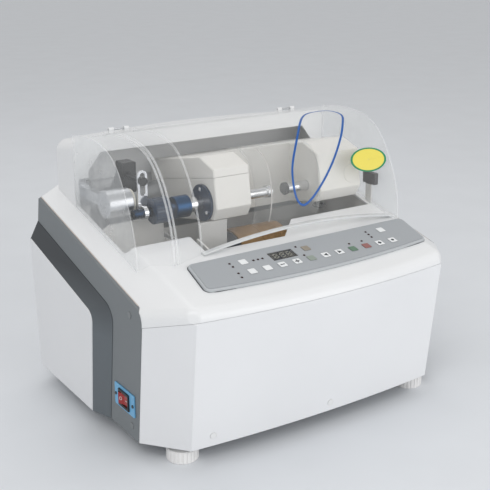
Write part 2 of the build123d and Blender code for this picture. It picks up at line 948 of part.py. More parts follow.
# Dry pattern recess at the left
recess_front = weir_front - wall
recess_left = bay_left - wall
pattern_tray = block(recess_left, recess_right, recess_front, recess_rear, flange_low, far)
recess_floor = flange_low + wall + sheet
pattern_tray -= block(
    recess_left + sheet, recess_right - sheet, recess_front + sheet, recess_rear - sheet, recess_floor, far,
)
pattern_tray -= block(
    recess_left + sheet, recess_right - sheet, recess_front + sheet, recess_rear - sheet, 0,
    recess_floor - sheet,
)
pattern_tray &= deck_under
pattern_tray -= block(recess_right - 2 * sheet, far, recess_front + 2 * sheet, far, tub_weir_height, far)
shoe_low = recess_floor + seat_gap
pattern_shoe = block(
    shoe_x - shoe_block_width / 2, shoe_x + shoe_block_width / 2, lens_depth - shoe_length / 2,
    lens_depth + shoe_length / 2,
    shoe_low, shoe_low + shoe_block_height,
)
shoe_face = outline([
    (lens_depth - shoe_length / 2, shoe_low + shoe_block_height - part_gap),
    (lens_depth - shoe_length * shoe_top_share, shoe_low + shoe_height),
    (lens_depth + shoe_length * shoe_top_share, shoe_low + shoe_height),
    (lens_depth + shoe_length / 2, shoe_low + shoe_block_height - part_gap),
])
pattern_shoe += slab_x(shoe_x - shoe_width / 2, shoe_x + shoe_width / 2, shoe_face)

# Wheels on their spindle
wheel_bore = spindle_diameter + 2 * running_gap


def ring_x(x_from, x_to, outer, inner, depth=wheel_depth, height=wheel_height):
    """A round ring about an axis along X."""
    return rod_x(x_from, x_to, depth, height, outer) - rod_x(x_from, x_to, depth, height, inner)


def turned(profile, depth, height):
    """A turned piece about an axis along X, from its (x, radius) outline."""
    face = outline([(x, radius) for x, radius in profile])
    solid = revolve(face, axis=Axis.X)
    return Pos(0, depth, height) * solid


bore = wheel_bore / 2
rim = wheel_diameter / 2
roughing_wheel = turned([
    (rough_left, bore), (rough_left, rim - part_gap), (rough_left + part_gap, rim),
    (bevel_left - part_gap, rim),
    (bevel_left - seat_gap, rim - part_gap), (bevel_left - seat_gap, bore),
], wheel_depth, wheel_height)
groove = (bevel_left + polish_left) / 2
bevel_wheel = turned([
    (bevel_left, bore), (bevel_left, rim), (groove - bevel_groove_width / 2, rim),
    (groove, rim - bevel_angle_depth),
    (groove + bevel_groove_width / 2, rim), (polish_left - seat_gap, rim), (polish_left - seat_gap, bore),
], wheel_depth, wheel_height)
groove = (polish_left + wheel_right) / 2
polishing_wheel = turned([
    (polish_left, bore), (polish_left, rim), (groove - bevel_groove_width / 2, rim),
    (groove, rim - bevel_angle_depth),
    (groove + bevel_groove_width / 2, rim), (wheel_right, rim), (wheel_right, bore),
], wheel_depth, wheel_height)
wheel_flange = turned([
    (guard_left, bore), (guard_left, hub_radius), (guard_left + wall, hub_radius),
    (rough_left - wall, rim - wall),
    (rough_left - seat_gap, rim - wall), (rough_left - seat_gap, bore),
], wheel_depth, wheel_height)
spindle_right = pulley_left + pulley_width
nut_right = wheel_right + nut_length
wheel_spindle = rod_x(bearing_left, spindle_right, wheel_depth, wheel_height, spindle_diameter)
wheel_spindle += rod_x(wheel_right + seat_gap, nut_right, wheel_depth, wheel_height, nut_diameter)
wheel_spindle += rod_x(
    guard_left - nut_length, guard_left - seat_gap, wheel_depth, wheel_height, nut_diameter,
)


def pulley(centre_depth, centre_height, diameter, bore_radius):
    """A flanged belt pulley."""
    return turned([
        (pulley_left, bore_radius), (pulley_left, diameter / 2), (pulley_left + pulley_lip, diameter / 2),
        (pulley_left + pulley_lip, diameter / 2 - pulley_rim),
        (pulley_left + pulley_width - pulley_lip, diameter / 2 - pulley_rim),
        (pulley_left + pulley_width - pulley_lip, diameter / 2), (pulley_left + pulley_width, diameter / 2),
        (pulley_left + pulley_width, bore_radius),
    ], centre_depth, centre_height)


wheel_spindle += pulley(wheel_depth, wheel_height, pulley_diameter, spindle_diameter / 2 - part_gap)
bearing_high = frame_top - sheet - seat_gap


def bearing(x):
    """A bearing block that hangs under the frame."""
    body = block(
        x, x + bearing_thickness, wheel_depth - bearing_block / 2, wheel_depth + bearing_block / 2,
        wheel_height - bearing_block / 2, bearing_high,
    )
    return body - rod_x(
        x, x + bearing_thickness, wheel_depth, wheel_height, spindle_diameter + 2 * running_gap,
    )


spindle_bearings = [bearing(bearing_left), bearing(bearing_right)]

# Grinding motor, its pulley and the belt
motor_foot_low = frame_low
grinding_motor = rod_x(motor_left, motor_right, motor_depth, motor_height, motor_diameter)
grinding_motor = chamfer(grinding_motor.edges().filter_by(GeomType.CIRCLE), motor_edge)
for index in range(motor_fin_count):
    angle = math.tau * index / motor_fin_count
    py = motor_depth + motor_diameter / 2 * math.cos(angle)
    pz = motor_height + motor_diameter / 2 * math.sin(angle)
    grinding_motor -= rod_x(motor_left + motor_cap, motor_right - motor_cap, py, pz, 2 * motor_fin_depth)
for side in (motor_left + motor_cap, motor_right - 2 * motor_cap):
    grinding_motor += block(
        side, side + motor_cap, motor_depth - motor_diameter / 2, motor_depth + motor_diameter / 2,
        motor_foot_low, motor_height - motor_diameter * motor_foot_share,
    )
grinding_motor -= rod_x(
    motor_left - overrun, motor_right + overrun, motor_depth, motor_height,
    motor_shaft_diameter + 2 * running_gap,
)
motor_pulley = rod_x(motor_left + motor_cap, spindle_right, motor_depth, motor_height, motor_shaft_diameter)
motor_pulley += pulley(
    motor_depth, motor_height, motor_pulley_diameter, motor_shaft_diameter / 2 - part_gap,
)


def belt_hull(grow):
    """The belt's run round both pulleys, seen from the side."""
    upper = Pos(wheel_depth, wheel_height) * Circle(pulley_diameter / 2 - pulley_rim + grow)
    lower = Pos(motor_depth, motor_height) * Circle(motor_pulley_diameter / 2 - pulley_rim + grow)
    return make_hull(upper.edges() + lower.edges())


belt_left = pulley_left + (pulley_width - belt_width) / 2
belt_face = belt_hull(seat_gap + belt_thickness) - belt_hull(seat_gap)
drive_belt = slab_x(belt_left, belt_left + belt_width, belt_face)

# Power supply and control board
supply_right = supply_left + supply_width
power_supply = block(
    supply_left, supply_right, supply_front, supply_front + supply_depth, frame_low,
    frame_low + supply_height,
)
power_supply = chamfer(power_supply.edges().filter_by(Axis.Z), sheet)
for index in range(supply_vent_count):
    low = frame_low + supply_height * supply_vent_share + index * vent_pitch
    power_supply -= block(
        supply_right - sheet, supply_right, supply_front + vent_pitch,
        supply_front + supply_depth - vent_pitch, low, low + vent_height,
    )

# Swing shaft and its brackets
swing_shaft = rod_x(swing_left, swing_right, swing_depth, swing_height, swing_diameter)
swing_shaft = chamfer(swing_shaft.edges().filter_by(GeomType.CIRCLE), shaft_edge)


def shaft_bracket(x):
    """A standing bracket that the swing shaft slides in."""
    half = bracket_width / 2
    face = outline([
        (swing_depth - half, flange_low), (swing_depth - half, swing_height),
        (swing_depth - half / 2, swing_height + half), (swing_depth + half / 2, swing_height + half),
        (swing_depth + half, swing_height), (swing_depth + half, flange_low),
    ])
    body = slab_x(x, x + bracket_thickness, face)
    return body - rod_x(
        x, x + bracket_thickness, swing_depth, swing_height, swing_diameter + 2 * running_gap,
    )


shaft_brackets = [shaft_bracket(-hood_mouth_half_width), shaft_bracket(hood_mouth_half_width)]

# Carriage: the side outline of the head and the arm
def seam_at(depth):
    """Height of the line along which the head is split, which leans with it."""
    return head_seam_height - carriage_slope * (depth - head_front)


def under_at(depth):
    """Height of the carriage's underside."""
    return head_under_height - carriage_slope * (depth - head_under)


def side_outline(inset):
    """Side outline of the head and the arm, drawn in by an inset."""
    points = [
        (head_chin, head_chin_height),
        (head_front, head_front_height),
        (head_ridge, head_ridge_height),
        (head_top_rear, head_top_rear_height),
        (head_rear, head_top_rear_height - head_rear_drop),
        (head_rear, head_rear_height),
        (head_heel, under_at(head_heel)),
        (head_under, head_under_height),
    ]
    face = outline(
        points,
        [head_soft, head_soft, head_ridge_soft, head_soft, head_soft, head_soft, head_soft, head_soft],
    )
    return offset(face, -inset, kind=Kind.INTERSECTION) if inset else face


def above_seam(gap):
    """The region over the split line."""
    reach = head_rear + far
    return outline([
        (-far, seam_at(-far) + gap), (reach, seam_at(reach) + gap), (reach, far), (-far, far),
    ])


arch = rod_x(arch_from, far, arch_depth, arch_height, arch_diameter)
arch_skin = rod_x(arch_from - wall, far, arch_depth, arch_height, arch_diameter + 2 * wall)
sleeve_hole = rod_x(-far, far, swing_depth, swing_height, sleeve_diameter + 2 * seat_gap)
shaft_hole = rod_x(-far, far, lens_depth, lens_height, shaft_diameter + 2 * part_gap)
head = slab_x(head_left, head_right, side_outline(0.0))
head_sides = head.faces().filter_by(Axis.X).edges()
head = chamfer(head_sides, head_edge)
head_inside = slab_x(head_left + wall, head_right - wall, side_outline(wall)) - arch_skin
head = head - head_inside - arch - sleeve_hole - shaft_hole
upper = slab_x(-far, far, above_seam(head_seam_gap / 2))
lower = slab_x(-far, far, above_seam(-head_seam_gap / 2))
head_lid = head & upper
head_lower = head - lower
arm = slab_x(arm_left, arm_right, side_outline(0.0))
arm = chamfer(arm.faces().filter_by(Axis.X).edges(), head_edge)
arm_inside = slab_x(arm_left + wall, arm_right - wall, side_outline(wall))
quill_hole = rod_x(-far, arm_left + 2 * wall, lens_depth, lens_height, quill_diameter + 2 * seat_gap)
arm_shaft_hole = rod_x(sleeve_right, far, swing_depth, swing_height, swing_diameter + 2 * seat_gap)
arm_sleeve_hole = rod_x(-far, sleeve_right, swing_depth, swing_height, sleeve_diameter + 2 * seat_gap)
bridge_left = head_right + part_gap
bridge = slab_x(bridge_left, arm_left + 2 * wall, side_outline(0.0)) & block(
    -far, far, bridge_front, far, 0, far,
)
bridge_room = slab_x(bridge_left - overrun, arm_left + 2 * wall, side_outline(wall))
bridge_room &= block(-far, far, bridge_front + wall, far, 0, far)
bridge_end = slab_x(bridge_left, bridge_left + wall, side_outline(0.0))
bridge_end &= block(-far, far, bridge_front, far, 0, far)
arm_cover = arm + bridge - arm_inside - bridge_room + bridge_end
front_lean = (head_front - head_chin) / (head_front_height - head_chin_height)
disc_height = lens_height + disc_rise
disc_depth = head_chin + front_lean * (disc_height - head_chin_height)
disc = Pos(disc_x, disc_depth, disc_height) * Rot(math.degrees(math.atan2(1, front_lean)), 0, 0)
arm_cover += disc * Cylinder(disc_diameter / 2, 2 * part_gap)
arm_cover = arm_cover - quill_hole - arm_shaft_hole - arm_sleeve_hole - sleeve_hole


# Carriage frame: the sleeve on the swing shaft and two arms with bosses
def frame_arm(x):
    """A tapered arm from the sleeve to a boss on the lens shaft's line."""
    sleeve_end = Pos(swing_depth, swing_height) * Circle(sleeve_diameter / 2)
    boss_end = Pos(lens_depth, lens_height) * Circle(boss_diameter / 2)
    face = make_hull(sleeve_end.edges() + boss_end.edges())
    return slab_x(x - frame_arm_thickness / 2, x + frame_arm_thickness / 2, face)


carriage_frame = rod_x(sleeve_left, sleeve_right, swing_depth, swing_height, sleeve_diameter)
carriage_frame += frame_arm(frame_arm_left)
carriage_frame += frame_arm(frame_arm_right)
carriage_frame -= rod_x(
    frame_arm_left - frame_arm_thickness, frame_arm_left + frame_arm_thickness, lens_depth,
    lens_height, shaft_diameter + 2 * running_gap,
)
carriage_frame -= rod_x(
    frame_arm_right - frame_arm_thickness, frame_arm_right + frame_arm_thickness, lens_depth,
    lens_height, quill_diameter + 2 * running_gap,
)
lug = outline([
    (swing_depth - sleeve_diameter / 2, swing_height), (drive_rear + seat_gap, drive_low + lug_drop),
    (drive_rear + seat_gap, drive_high - lug_drop), (drive_rear + lug_width, drive_high - lug_drop),
    (swing_depth, swing_height + sleeve_diameter * lug_root_share),
])
carriage_frame += slab_x(sleeve_left, sleeve_left + lug_thickness, lug)
carriage_frame -= rod_x(-far, far, swing_depth, swing_height, swing_diameter + 2 * running_gap)

spray_apron = block(
    apron_left, apron_right, apron_depth, apron_depth + apron_thickness, apron_bottom, apron_top,
)
apron_corners = spray_apron.edges().filter_by(Axis.Y).sort_by(Axis.Z)[:2]
spray_apron = fillet(apron_corners, head_soft)

# Black bearing flange on the head's left face
flange_left = head_left - seat_gap - flange_thickness
bearing_flange = ring_x(
    flange_left, head_left - seat_gap, flange_diameter, shaft_diameter + 2 * part_gap, lens_depth,
    lens_height,
)
for index in range(flange_screw_count):
    angle = math.pi / 2 + math.tau * index / flange_screw_count
    py = lens_depth + flange_screw_circle / 2 * math.cos(angle)
    pz = lens_height + flange_screw_circle / 2 * math.sin(angle)
    bearing_flange += rod_x(flange_left - sheet, flange_left, py, pz, flange_screw_diameter)

# Lens shaft with its left chuck, knurled knob and pattern coupling
half = shaft_diameter / 2
lens_shaft = turned([
    (tail_left, 0), (tail_left, tail_diameter / 2), (knob_left - seat_gap, tail_diameter / 2),
    (knob_left - seat_gap, half - part_gap),
    (coupling_right, half - part_gap), (coupling_right, collar_diameter / 2),
    (collar_right, collar_diameter / 2),
    (collar_right, half), (head_right + part_gap, half), (head_right + overrun, chuck_diameter / 2 - sheet),
    (chuck_right - chuck_length, chuck_diameter / 2 - sheet),
    (chuck_right - chuck_length, chuck_diameter / 2),
    (chuck_right - sheet, chuck_diameter / 2), (chuck_right, chuck_diameter / 2 - sheet), (chuck_right, 0),
], lens_depth, lens_height)
core = shaft_diameter - 2 * part_gap + 2 * running_gap
shaft_knob = ring_x(knob_left, knob_right, knob_diameter, core, lens_depth, lens_height)
rims = shaft_knob.edges().filter_by(GeomType.CIRCLE)
knob_rims = [edge for edge in rims if edge.length > math.pi * coupling_diameter]
shaft_knob = chamfer(knob_rims, knob_edge)
for index in range(knob_grooves):
    angle = math.tau * index / knob_grooves
    py = lens_depth + knob_diameter / 2 * math.cos(angle)
    pz = lens_height + knob_diameter / 2 * math.sin(angle)
    shaft_knob -= rod_x(knob_left, knob_right, py, pz, knob_groove)
pattern_coupling = ring_x(coupling_left, coupling_right, coupling_diameter, core, lens_depth, lens_height)
rims = pattern_coupling.edges().filter_by(GeomType.CIRCLE)
coupling_rims = [edge for edge in rims if edge.length > math.pi * chuck_diameter]
pattern_coupling = chamfer(coupling_rims, coupling_edge)

# Clamp: a quill that presses the lens, and its turning pad
quill_left = pad_left + pad_length + seat_gap
stem_bore = pad_stem_diameter + 2 * running_gap
clamp_quill = rod_x(quill_left, quill_right, lens_depth, lens_height, quill_diameter)
clamp_quill -= rod_x(
    quill_left, quill_left + pad_stem_length + part_gap, lens_depth, lens_height, stem_bore,
)
clamp_pad = turned([
    (pad_left, 0), (pad_left, chuck_diameter / 2 - sheet), (pad_left + sheet, chuck_diameter / 2),
    (pad_left + pad_length, chuck_diameter / 2), (pad_left + pad_length, pad_stem_diameter / 2),
    (pad_left + pad_length + pad_stem_length, pad_stem_diameter / 2),
    (pad_left + pad_length + pad_stem_length, 0),
], lens_depth, lens_height)

# Drive motor of the pattern side and its slotted link
drive_motor = block(drive_left, drive_right, drive_front, drive_rear, drive_low, drive_high)
drive_motor = chamfer(drive_motor.edges().filter_by(Axis.Y), drive_edge)
screw_height = link_high - link_width
drive_motor += rod_y(link_front - sheet, drive_front, link_x, screw_height, link_slot - 2 * seat_gap)
drive_motor += rod_y(
    link_front - 2 * sheet, link_front - seat_gap, link_x, screw_height, link_screw_diameter,
)


def upright_slot(low, high, width):
    """A flat upright shape with round ends."""
    ends = [Pos(link_x, height) * Circle(width / 2) for height in (low, high)]
    return make_hull(ends[0].edges() + ends[1].edges())


link_round = link_high - link_width / 2
link_face = upright_slot(link_low, link_round, link_width)
link_face -= upright_slot(link_high - link_slot_length, link_round, link_slot)
slotted_link = extrude(Plane.XZ.offset(-link_front) * link_face, amount=-link_thickness)
slotted_link += rod_x(hook_left, hook_left + hook_width, lens_depth, lens_height, tail_diameter + 2 * wall)
slotted_link -= rod_x(-far, far, lens_depth, lens_height, tail_diameter + 2 * seat_gap)

# Size adjustment: a geared motor on the left margin, with a pale cam
size_motor = rod_x(size_left, size_right, size_depth, size_height, size_diameter)
size_motor = chamfer(size_motor.edges().filter_by(GeomType.CIRCLE), size_edge)
mount_right = -hood_mouth_half_width - seat_gap
size_motor += block(
    size_left + size_cap_length, mount_right, size_depth, hood_front - seat_gap,
    size_height - mount_half_height, size_height + mount_half_height,
)
size_motor += block(
    size_left, mount_right, hood_front - seat_gap - sheet, hood_front - seat_gap,
    size_height - size_diameter / 2, size_height + size_diameter / 2,
)
size_motor += rod_x(
    size_right, size_right + cam_thickness + seat_gap, size_depth, size_height, size_shaft_diameter,
)
cam_left = size_right + seat_gap
size_cam = slab_x(
    cam_left, cam_left + cam_thickness,
    Pos(size_depth + cam_lift, size_height) * Circle(cam_diameter / 2),
)
size_cam -= rod_x(
    cam_left, cam_left + cam_thickness, size_depth, size_height,
    size_shaft_diameter + 2 * running_gap,
)

# Coolant nozzle under the arm's front
nozzle_height = under_at(nozzle_depth) - nozzle_drop
coolant_nozzle = Pos(nozzle_x, nozzle_depth, nozzle_height) * Torus(nozzle_ring, nozzle_tube)
nozzle_top = under_at(nozzle_depth + nozzle_ring + nozzle_tube) - seat_gap
coolant_nozzle += rod_z(nozzle_x, nozzle_depth + nozzle_ring, nozzle_height, nozzle_top, nozzle_stem)

# Cover interlock switch on the right margin
interlock = block(
    interlock_x - interlock_width / 2, interlock_x + interlock_width / 2,
    interlock_depth - interlock_length / 2,
    interlock_depth + interlock_length / 2, interlock_top - interlock_height, interlock_top,
)
interlock = chamfer(interlock.edges().filter_by(Axis.X), part_gap)
interlock += block(
    interlock_x - interlock_width / 2, interlock_x - interlock_width / 2 + sheet,
    interlock_depth - stem_length / 2,
    interlock_depth + stem_length / 2, seam_height, interlock_top - interlock_height / 2,
)
interlock_switch = interlock - roof(-seat_gap)


# Control panel on the deck
def on_deck(points):
    """Plan points carried onto the sloping deck."""
    return [(x, depth * math.hypot(1, deck_slope)) for x, depth in points]


deck_plane = Plane(origin=(0, 0, deck_height), x_dir=(1, 0, 0), z_dir=(0, -deck_slope, 1))


def panel_outline(inset):
    """Plan outline of the control panel with its bowed front."""
    left_front, right_front = (panel_left_front, panel_front), (panel_right_front, panel_right_front_depth)
    middle = ((panel_left_front + panel_right_front) / 2, panel_front - panel_bow)
    rear_right, rear_left = (panel_right_rear, panel_rear), (panel_left_rear, panel_left_rear_depth)
    front = ThreePointArc(*on_deck([left_front, middle, right_front]))
    sides = Polyline(*on_deck([right_front, rear_right, rear_left, left_front]))
    face = make_face(front.edges() + sides.edges())
    face = fillet(face.vertices(), panel_radius)
    return offset(face, -inset, kind=Kind.INTERSECTION) if inset else face


panel_low = -shoulder_drop / 4
control_panel = extrude(
    deck_plane.offset(panel_low) * panel_outline(0.0), amount=panel_thickness - panel_low,
)
control_panel -= roof(-seat_gap)
panel_top = control_panel.faces().sort_by(Axis((0, 0, 0), deck_plane.z_dir))[-1]
control_panel = chamfer(panel_top.edges(), panel_edge)
overlay_plane = deck_plane.offset(panel_thickness)
keypad_overlay = extrude(overlay_plane * panel_outline(overlay_margin), amount=overlay_thickness)
key_places = [(key_first + index * key_pitch, key_row) for index in range(key_row_count)] + upper_keys
key_face = RectangleRounded(key_size, key_size, key_radius)
for place in on_deck(key_places):
    keypad_overlay += extrude(
        overlay_plane.offset(overlay_thickness) * Pos(*place) * key_face, amount=key_proud,
    )
window_place = Pos(*on_deck([(window_x, window_depth)])[0])
window_face = window_place * Rectangle(window_width, window_height)
window_room = extrude(
    overlay_plane.offset(-window_thickness) * offset(window_face, seat_gap, kind=Kind.INTERSECTION),
    amount=far,
)
keypad_overlay -= window_room
control_panel -= window_room
display_window = extrude(
    overlay_plane.offset(seat_gap - window_thickness) * window_face, amount=window_thickness,
)
indicator_lights = []
for place in on_deck(lamp_places):
    keypad_overlay -= extrude(
        overlay_plane * Pos(*place) * Circle(lamp_diameter / 2 + seat_gap), amount=overrun,
    )
    lamp = extrude(overlay_plane * Pos(*place) * Circle(lamp_diameter / 2), amount=lamp_height)
    indicator_lights.append(chamfer(lamp.edges().sort_by(Axis.Z)[-1], lamp_height / 3))
board_plane = deck_plane.offset(-wall - board_drop)
board_middle = Pos(*on_deck([((panel_left_front + panel_right_front) / 2, board_place)])[0])
control_board = extrude(
    board_plane * board_middle * Rectangle(board_width, board_depth), amount=board_thickness,
)
for x in (-1, 1):
    for y in (-1, 1):
        corner = Pos(x * (board_width / 2 - spacer_diameter), y * (board_depth / 2 - spacer_diameter))
        control_board += extrude(
            board_plane * board_middle * corner * Circle(spacer_diameter / 2),
            amount=board_drop - seat_gap,
        )

# Mains switch on the left band
plate_seat = -band_half_width - seat_gap
switch_plate = block(
    plate_seat - switch_plate_thickness, plate_seat, switch_depth - switch_plate_width / 2,
    switch_depth + switch_plate_width / 2,
    switch_height - switch_plate_height / 2, switch_height + switch_plate_height / 2,
)
switch_plate = fillet(switch_plate.edges().filter_by(Axis.X), sheet)


def switch_block(x_from, x_to, width, height):
    """A block centred on the mains switch."""
    return block(
        x_from, x_to, switch_depth - width / 2, switch_depth + width / 2,
        switch_height - height / 2, switch_height + height / 2,
    )


frame_face = plate_seat - switch_plate_thickness - switch_frame_proud
body_room = switch_block(
    -far, plate_seat + switch_body_depth, switch_body_width + 2 * seat_gap,
    switch_body_height + 2 * seat_gap,
)
switch_plate -= body_room
left_band -= body_room
chassis_frame -= body_room
switch_frame = switch_block(
    frame_face, plate_seat - switch_plate_thickness, switch_frame_width, switch_frame_height,
)
switch_frame += switch_block(
    plate_seat - switch_plate_thickness, plate_seat + switch_body_depth, switch_body_width,
    switch_body_height,
)
switch_frame -= switch_block(
    frame_face, frame_face + rocker_well, rocker_width + 2 * rocker_gap,
    rocker_height + 2 * part_gap,
)
pivot_x = frame_face + rocker_pivot
rise = rocker_width / 2 * math.tan(math.radians(rocker_tilt))
rocker_face = outline([
    (rocker_front, 0), (rocker_front - rise, rocker_width / 2),
    (rocker_front + rocker_thickness, rocker_width / 2 - sheet),
    (rocker_front + rocker_thickness, -rocker_width / 2 + sheet),
    (rocker_front - rise, -rocker_width / 2),
])
rocker = extrude(Rot(0, 0, rocker_tilt) * rocker_face, amount=rocker_height / 2, both=True)
rocker += Cylinder(rocker_pin / 2, rocker_height + 2 * sheet)
rocker = Pos(pivot_x, switch_depth, switch_height) * rocker
switch_frame -= rod_z(
    pivot_x, switch_depth, switch_height - rocker_height / 2 - sheet - seat_gap,
    switch_height + rocker_height / 2 + sheet + seat_gap, rocker_pin + 2 * running_gap,
)
switch_screws = []
for side in (-1, 1):
    py = switch_depth + side * switch_screw_spread / 2
    screw = rod_x(
        plate_seat - switch_plate_thickness - switch_screw_head,
        plate_seat - switch_plate_thickness, py, switch_height, switch_screw_diameter,
    )
    switch_screws.append(screw)


# Clear cover: stations across the machine, each a side outline
def moved_in(points, inset):
    """Outline points moved inwards, square to the line between their neighbours."""
    moved = []
    last = len(points) - 1
    for index, (depth, height) in enumerate(points):
        before, after = points[max(index - 1, 0)], points[min(index + 1, last)]
        run, rise = after[0] - before[0], after[1] - before[1]
        length = math.hypot(run, rise)
        moved.append((depth + inset * rise / length, height - inset * run / length))
    return moved


def cover_face(bulge, inset):
    """The area under the cover's side outline, pushed forward by a bulge."""
    points = [
        (depth - bulge * share, height)
        for (depth, height), share in zip(cover_outline, bulge_shares)
    ]
    points = moved_in(points, inset)
    start, end = points[0], points[-1]
    return make_face([
        Line((start[0], floor_height), start),
        Spline(points),
        Line(end, (end[0], floor_height)),
        Line((end[0], floor_height), (start[0], floor_height)),
    ])


def cover_block(inset):
    """The cover's outside, or its inside drawn in by an inset."""
    half = cover_half_width - inset
    stations = [
        (-half, -bulge_left_back),
        (bulge_crest - bulge_crest_width / 2, bulge_proud),
        (bulge_crest + bulge_crest_width / 2, bulge_proud),
        (bulge_right, 0.0),
        (half, 0.0),
    ]
    return loft([Plane.YZ.offset(x) * cover_face(bulge, inset) for x, bulge in stations], ruled=True)


cover_outside = cover_block(0.0)
cover_inside = cover_block(cover_thickness)
rear_room = slab_x(-cover_half_width + cover_thickness, cover_half_width - cover_thickness, outline([
    (cover_outline[-1][0] - cover_thickness, floor_height),
    (cover_outline[-1][0] - cover_thickness, cover_outline[-1][1] - 2 * cover_thickness),
    (cover_outline[-1][0] + cover_thickness, cover_outline[-1][1] - 2 * cover_thickness),
    (cover_outline[-1][0] + cover_thickness, floor_height),
]))

clear_cover = cover_outside - cover_inside - rear_room - roof(-part_gap)
arch_middle = (arch_left + arch_right) / 2
arch_low = deck_at(cover_foot_depth)


def arch_region(lift, x_grow):
    """The area under the cover's arched lower edge, seen from the front."""
    left, right = arch_left - x_grow, arch_right + x_grow
    low, high = arch_low + lift, arch_low + arch_rise + lift
    edges = [
        ThreePointArc((left, low), (arch_middle, high), (right, low)),
        Line((right, low), (right, floor_height)),
        Line((right, floor_height), (left, floor_height)),
        Line((left, floor_height), (left, low)),
    ]
    return Plane.XZ.offset(-lip_front) * make_face(edges)


lip_front = cover_foot_depth - lip_depth + cover_thickness
arch_hole = extrude(arch_region(lip_thickness, 0.0), amount=-(lip_depth + far / 40))
clear_cover -= arch_hole
lip_ring = arch_region(lip_thickness - seat_gap, 0.0) - arch_region(0.0, 0.0)
cover_lip = extrude(lip_ring, amount=-lip_depth) - roof(-part_gap)

# Cover hinge: knuckles on the cover between ears on the hood
cover_rear_height = cover_outline[-1][1]
hinge_depth = hood_front + hinge_setback
hinge_height = cover_rear_height + hinge_lift
knuckle_half = hinge_knuckle / 2
ear_reach = knuckle_half + seat_gap + hinge_ear


def hinge_bore(x, radius):
    """A round rod on the hinge line, as long as one whole hinge."""
    return rod_x(x - ear_reach, x + ear_reach, hinge_depth, hinge_height, 2 * radius)


def hinge_leaf(x):
    """The cover's half of a hinge: a knuckle and the tab that carries it."""
    tab = outline([
        (hinge_depth - tab_length, cover_rear_height - sheet),
        (hinge_depth - tab_length, cover_rear_height + sheet),
        (hinge_depth, hinge_height + hinge_radius),
        (hinge_depth, hinge_height - hinge_radius),
        (hood_front - cover_rear_gap, cover_rear_height - sheet),
    ])
    leaf = rod_x(x - knuckle_half, x + knuckle_half, hinge_depth, hinge_height, 2 * hinge_radius)
    leaf += slab_x(x - knuckle_half, x + knuckle_half, tab)
    return leaf - hinge_bore(x, hinge_pin_radius + running_gap)


def hinge_ears(x):
    """The hood's half of a hinge: an ear on each side of the knuckle."""
    foot = outline([
        (hinge_depth - hinge_radius, hood_side_height),
        (hinge_depth - hinge_radius, hinge_height),
        (hinge_depth + hinge_radius, hinge_height),
        (hinge_depth + 2 * hinge_radius, hood_side_height),
    ])
    ears = rod_x(x - ear_reach, x + ear_reach, hinge_depth, hinge_height, 2 * hinge_radius)
    ears += slab_x(x - ear_reach, x + ear_reach, foot)
    gap_half = knuckle_half + seat_gap
    ears -= block(x - gap_half, x + gap_half, 0, far, 0, 2 * far)
    return ears - hood_inside - hinge_bore(x, hinge_pin_radius + running_gap)


for x in (-hinge_spacing, hinge_spacing):
    clear_cover += hinge_leaf(x)
    top_cover += hinge_ears(x)
hinge_pins = [hinge_bore(x, hinge_pin_radius) for x in (-hinge_spacing, hinge_spacing)]


# Every piece under its own name
pieces = {
    "base_tray": [base_tray],
    "feet": feet,
    "chassis_frame": [chassis_frame],
    "front_panel": [front_panel],
    "screw_caps": front_caps + band_caps + [mirrored(cap) for cap in band_caps],
    "side_band_left": [left_band],
    "side_band_right": [side_band],
    "side_bevel_left": [mirrored(side_bevel)],
    "side_bevel_right": [side_bevel],
    "side_panel_left": [mirrored(side_panel)],
    "side_panel_right": [side_panel],
    "top_cover": [top_cover],
    "rear_panel": [rear_panel],
    "power_inlet": [power_inlet],
    "water_inlet": [water_inlet],
    "drain_outlet": [drain_outlet],
    "control_panel": [control_panel],
    "keypad_overlay": [keypad_overlay],
    "display_window": [display_window],
    "indicator_lights": indicator_lights,
    "control_board": [control_board],
    "switch_plate": [switch_plate],
    "switch_frame": [switch_frame],
    "rocker": [rocker],
    "switch_screws": switch_screws,
    "power_supply": [power_supply],
    "clear_cover": [clear_cover],
    "cover_lip": [cover_lip],
    "hinge_pins": hinge_pins,
    "splash_tub": [splash_tub],
    "pattern_tray": [pattern_tray],
    "pattern_shoe": [pattern_shoe],
    "wheel_spindle": [wheel_spindle],
    "roughing_wheel": [roughing_wheel],
    "bevel_wheel": [bevel_wheel],
    "polishing_wheel": [polishing_wheel],
    "wheel_flange": [wheel_flange],
    "spindle_bearings": spindle_bearings,
    "grinding_motor": [grinding_motor],
    "motor_pulley": [motor_pulley],
    "drive_belt": [drive_belt],
    "swing_shaft": [swing_shaft],
    "shaft_brackets": shaft_brackets,
    "carriage_frame": [carriage_frame],
    "head_lower": [head_lower],
    "head_lid": [head_lid],
    "arm_cover": [arm_cover],
    "spray_apron": [spray_apron],
    "bearing_flange": [bearing_flange],
    "coolant_nozzle": [coolant_nozzle],
    "lens_shaft": [lens_shaft],
    "shaft_knob": [shaft_knob],
    "pattern_coupling": [pattern_coupling],
    "clamp_quill": [clamp_quill],
    "clamp_pad": [clamp_pad],
    "drive_motor": [drive_motor],
    "slotted_link": [slotted_link],
    "size_motor": [size_motor],
    "size_cam": [size_cam],
    "interlock_switch": [interlock_switch],
}

# The origin lies under the middle of the machine's own outline
ends = []
for group in pieces.values():
    for piece in group:
        box = piece.bounding_box()
        ends += [box.min.Y, box.max.Y]
middle = (min(ends) + max(ends)) / 2
os.makedirs("parts", exist_ok=True)
for name, group in pieces.items():
    solids = [solid for piece in group for solid in piece.solids()]
    placed = [Pos(0, -middle, 0) * solid for solid in solids]
    export_step(Compound(children=placed), f"parts/{name}.step")
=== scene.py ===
"""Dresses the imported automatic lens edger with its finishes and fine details.

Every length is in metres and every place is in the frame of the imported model:
X to the right, Y to the back, Z up, with the origin on the floor.
"""

import logging
import math
from dataclasses import dataclass, field
from enum import Enum
from typing import Sequence

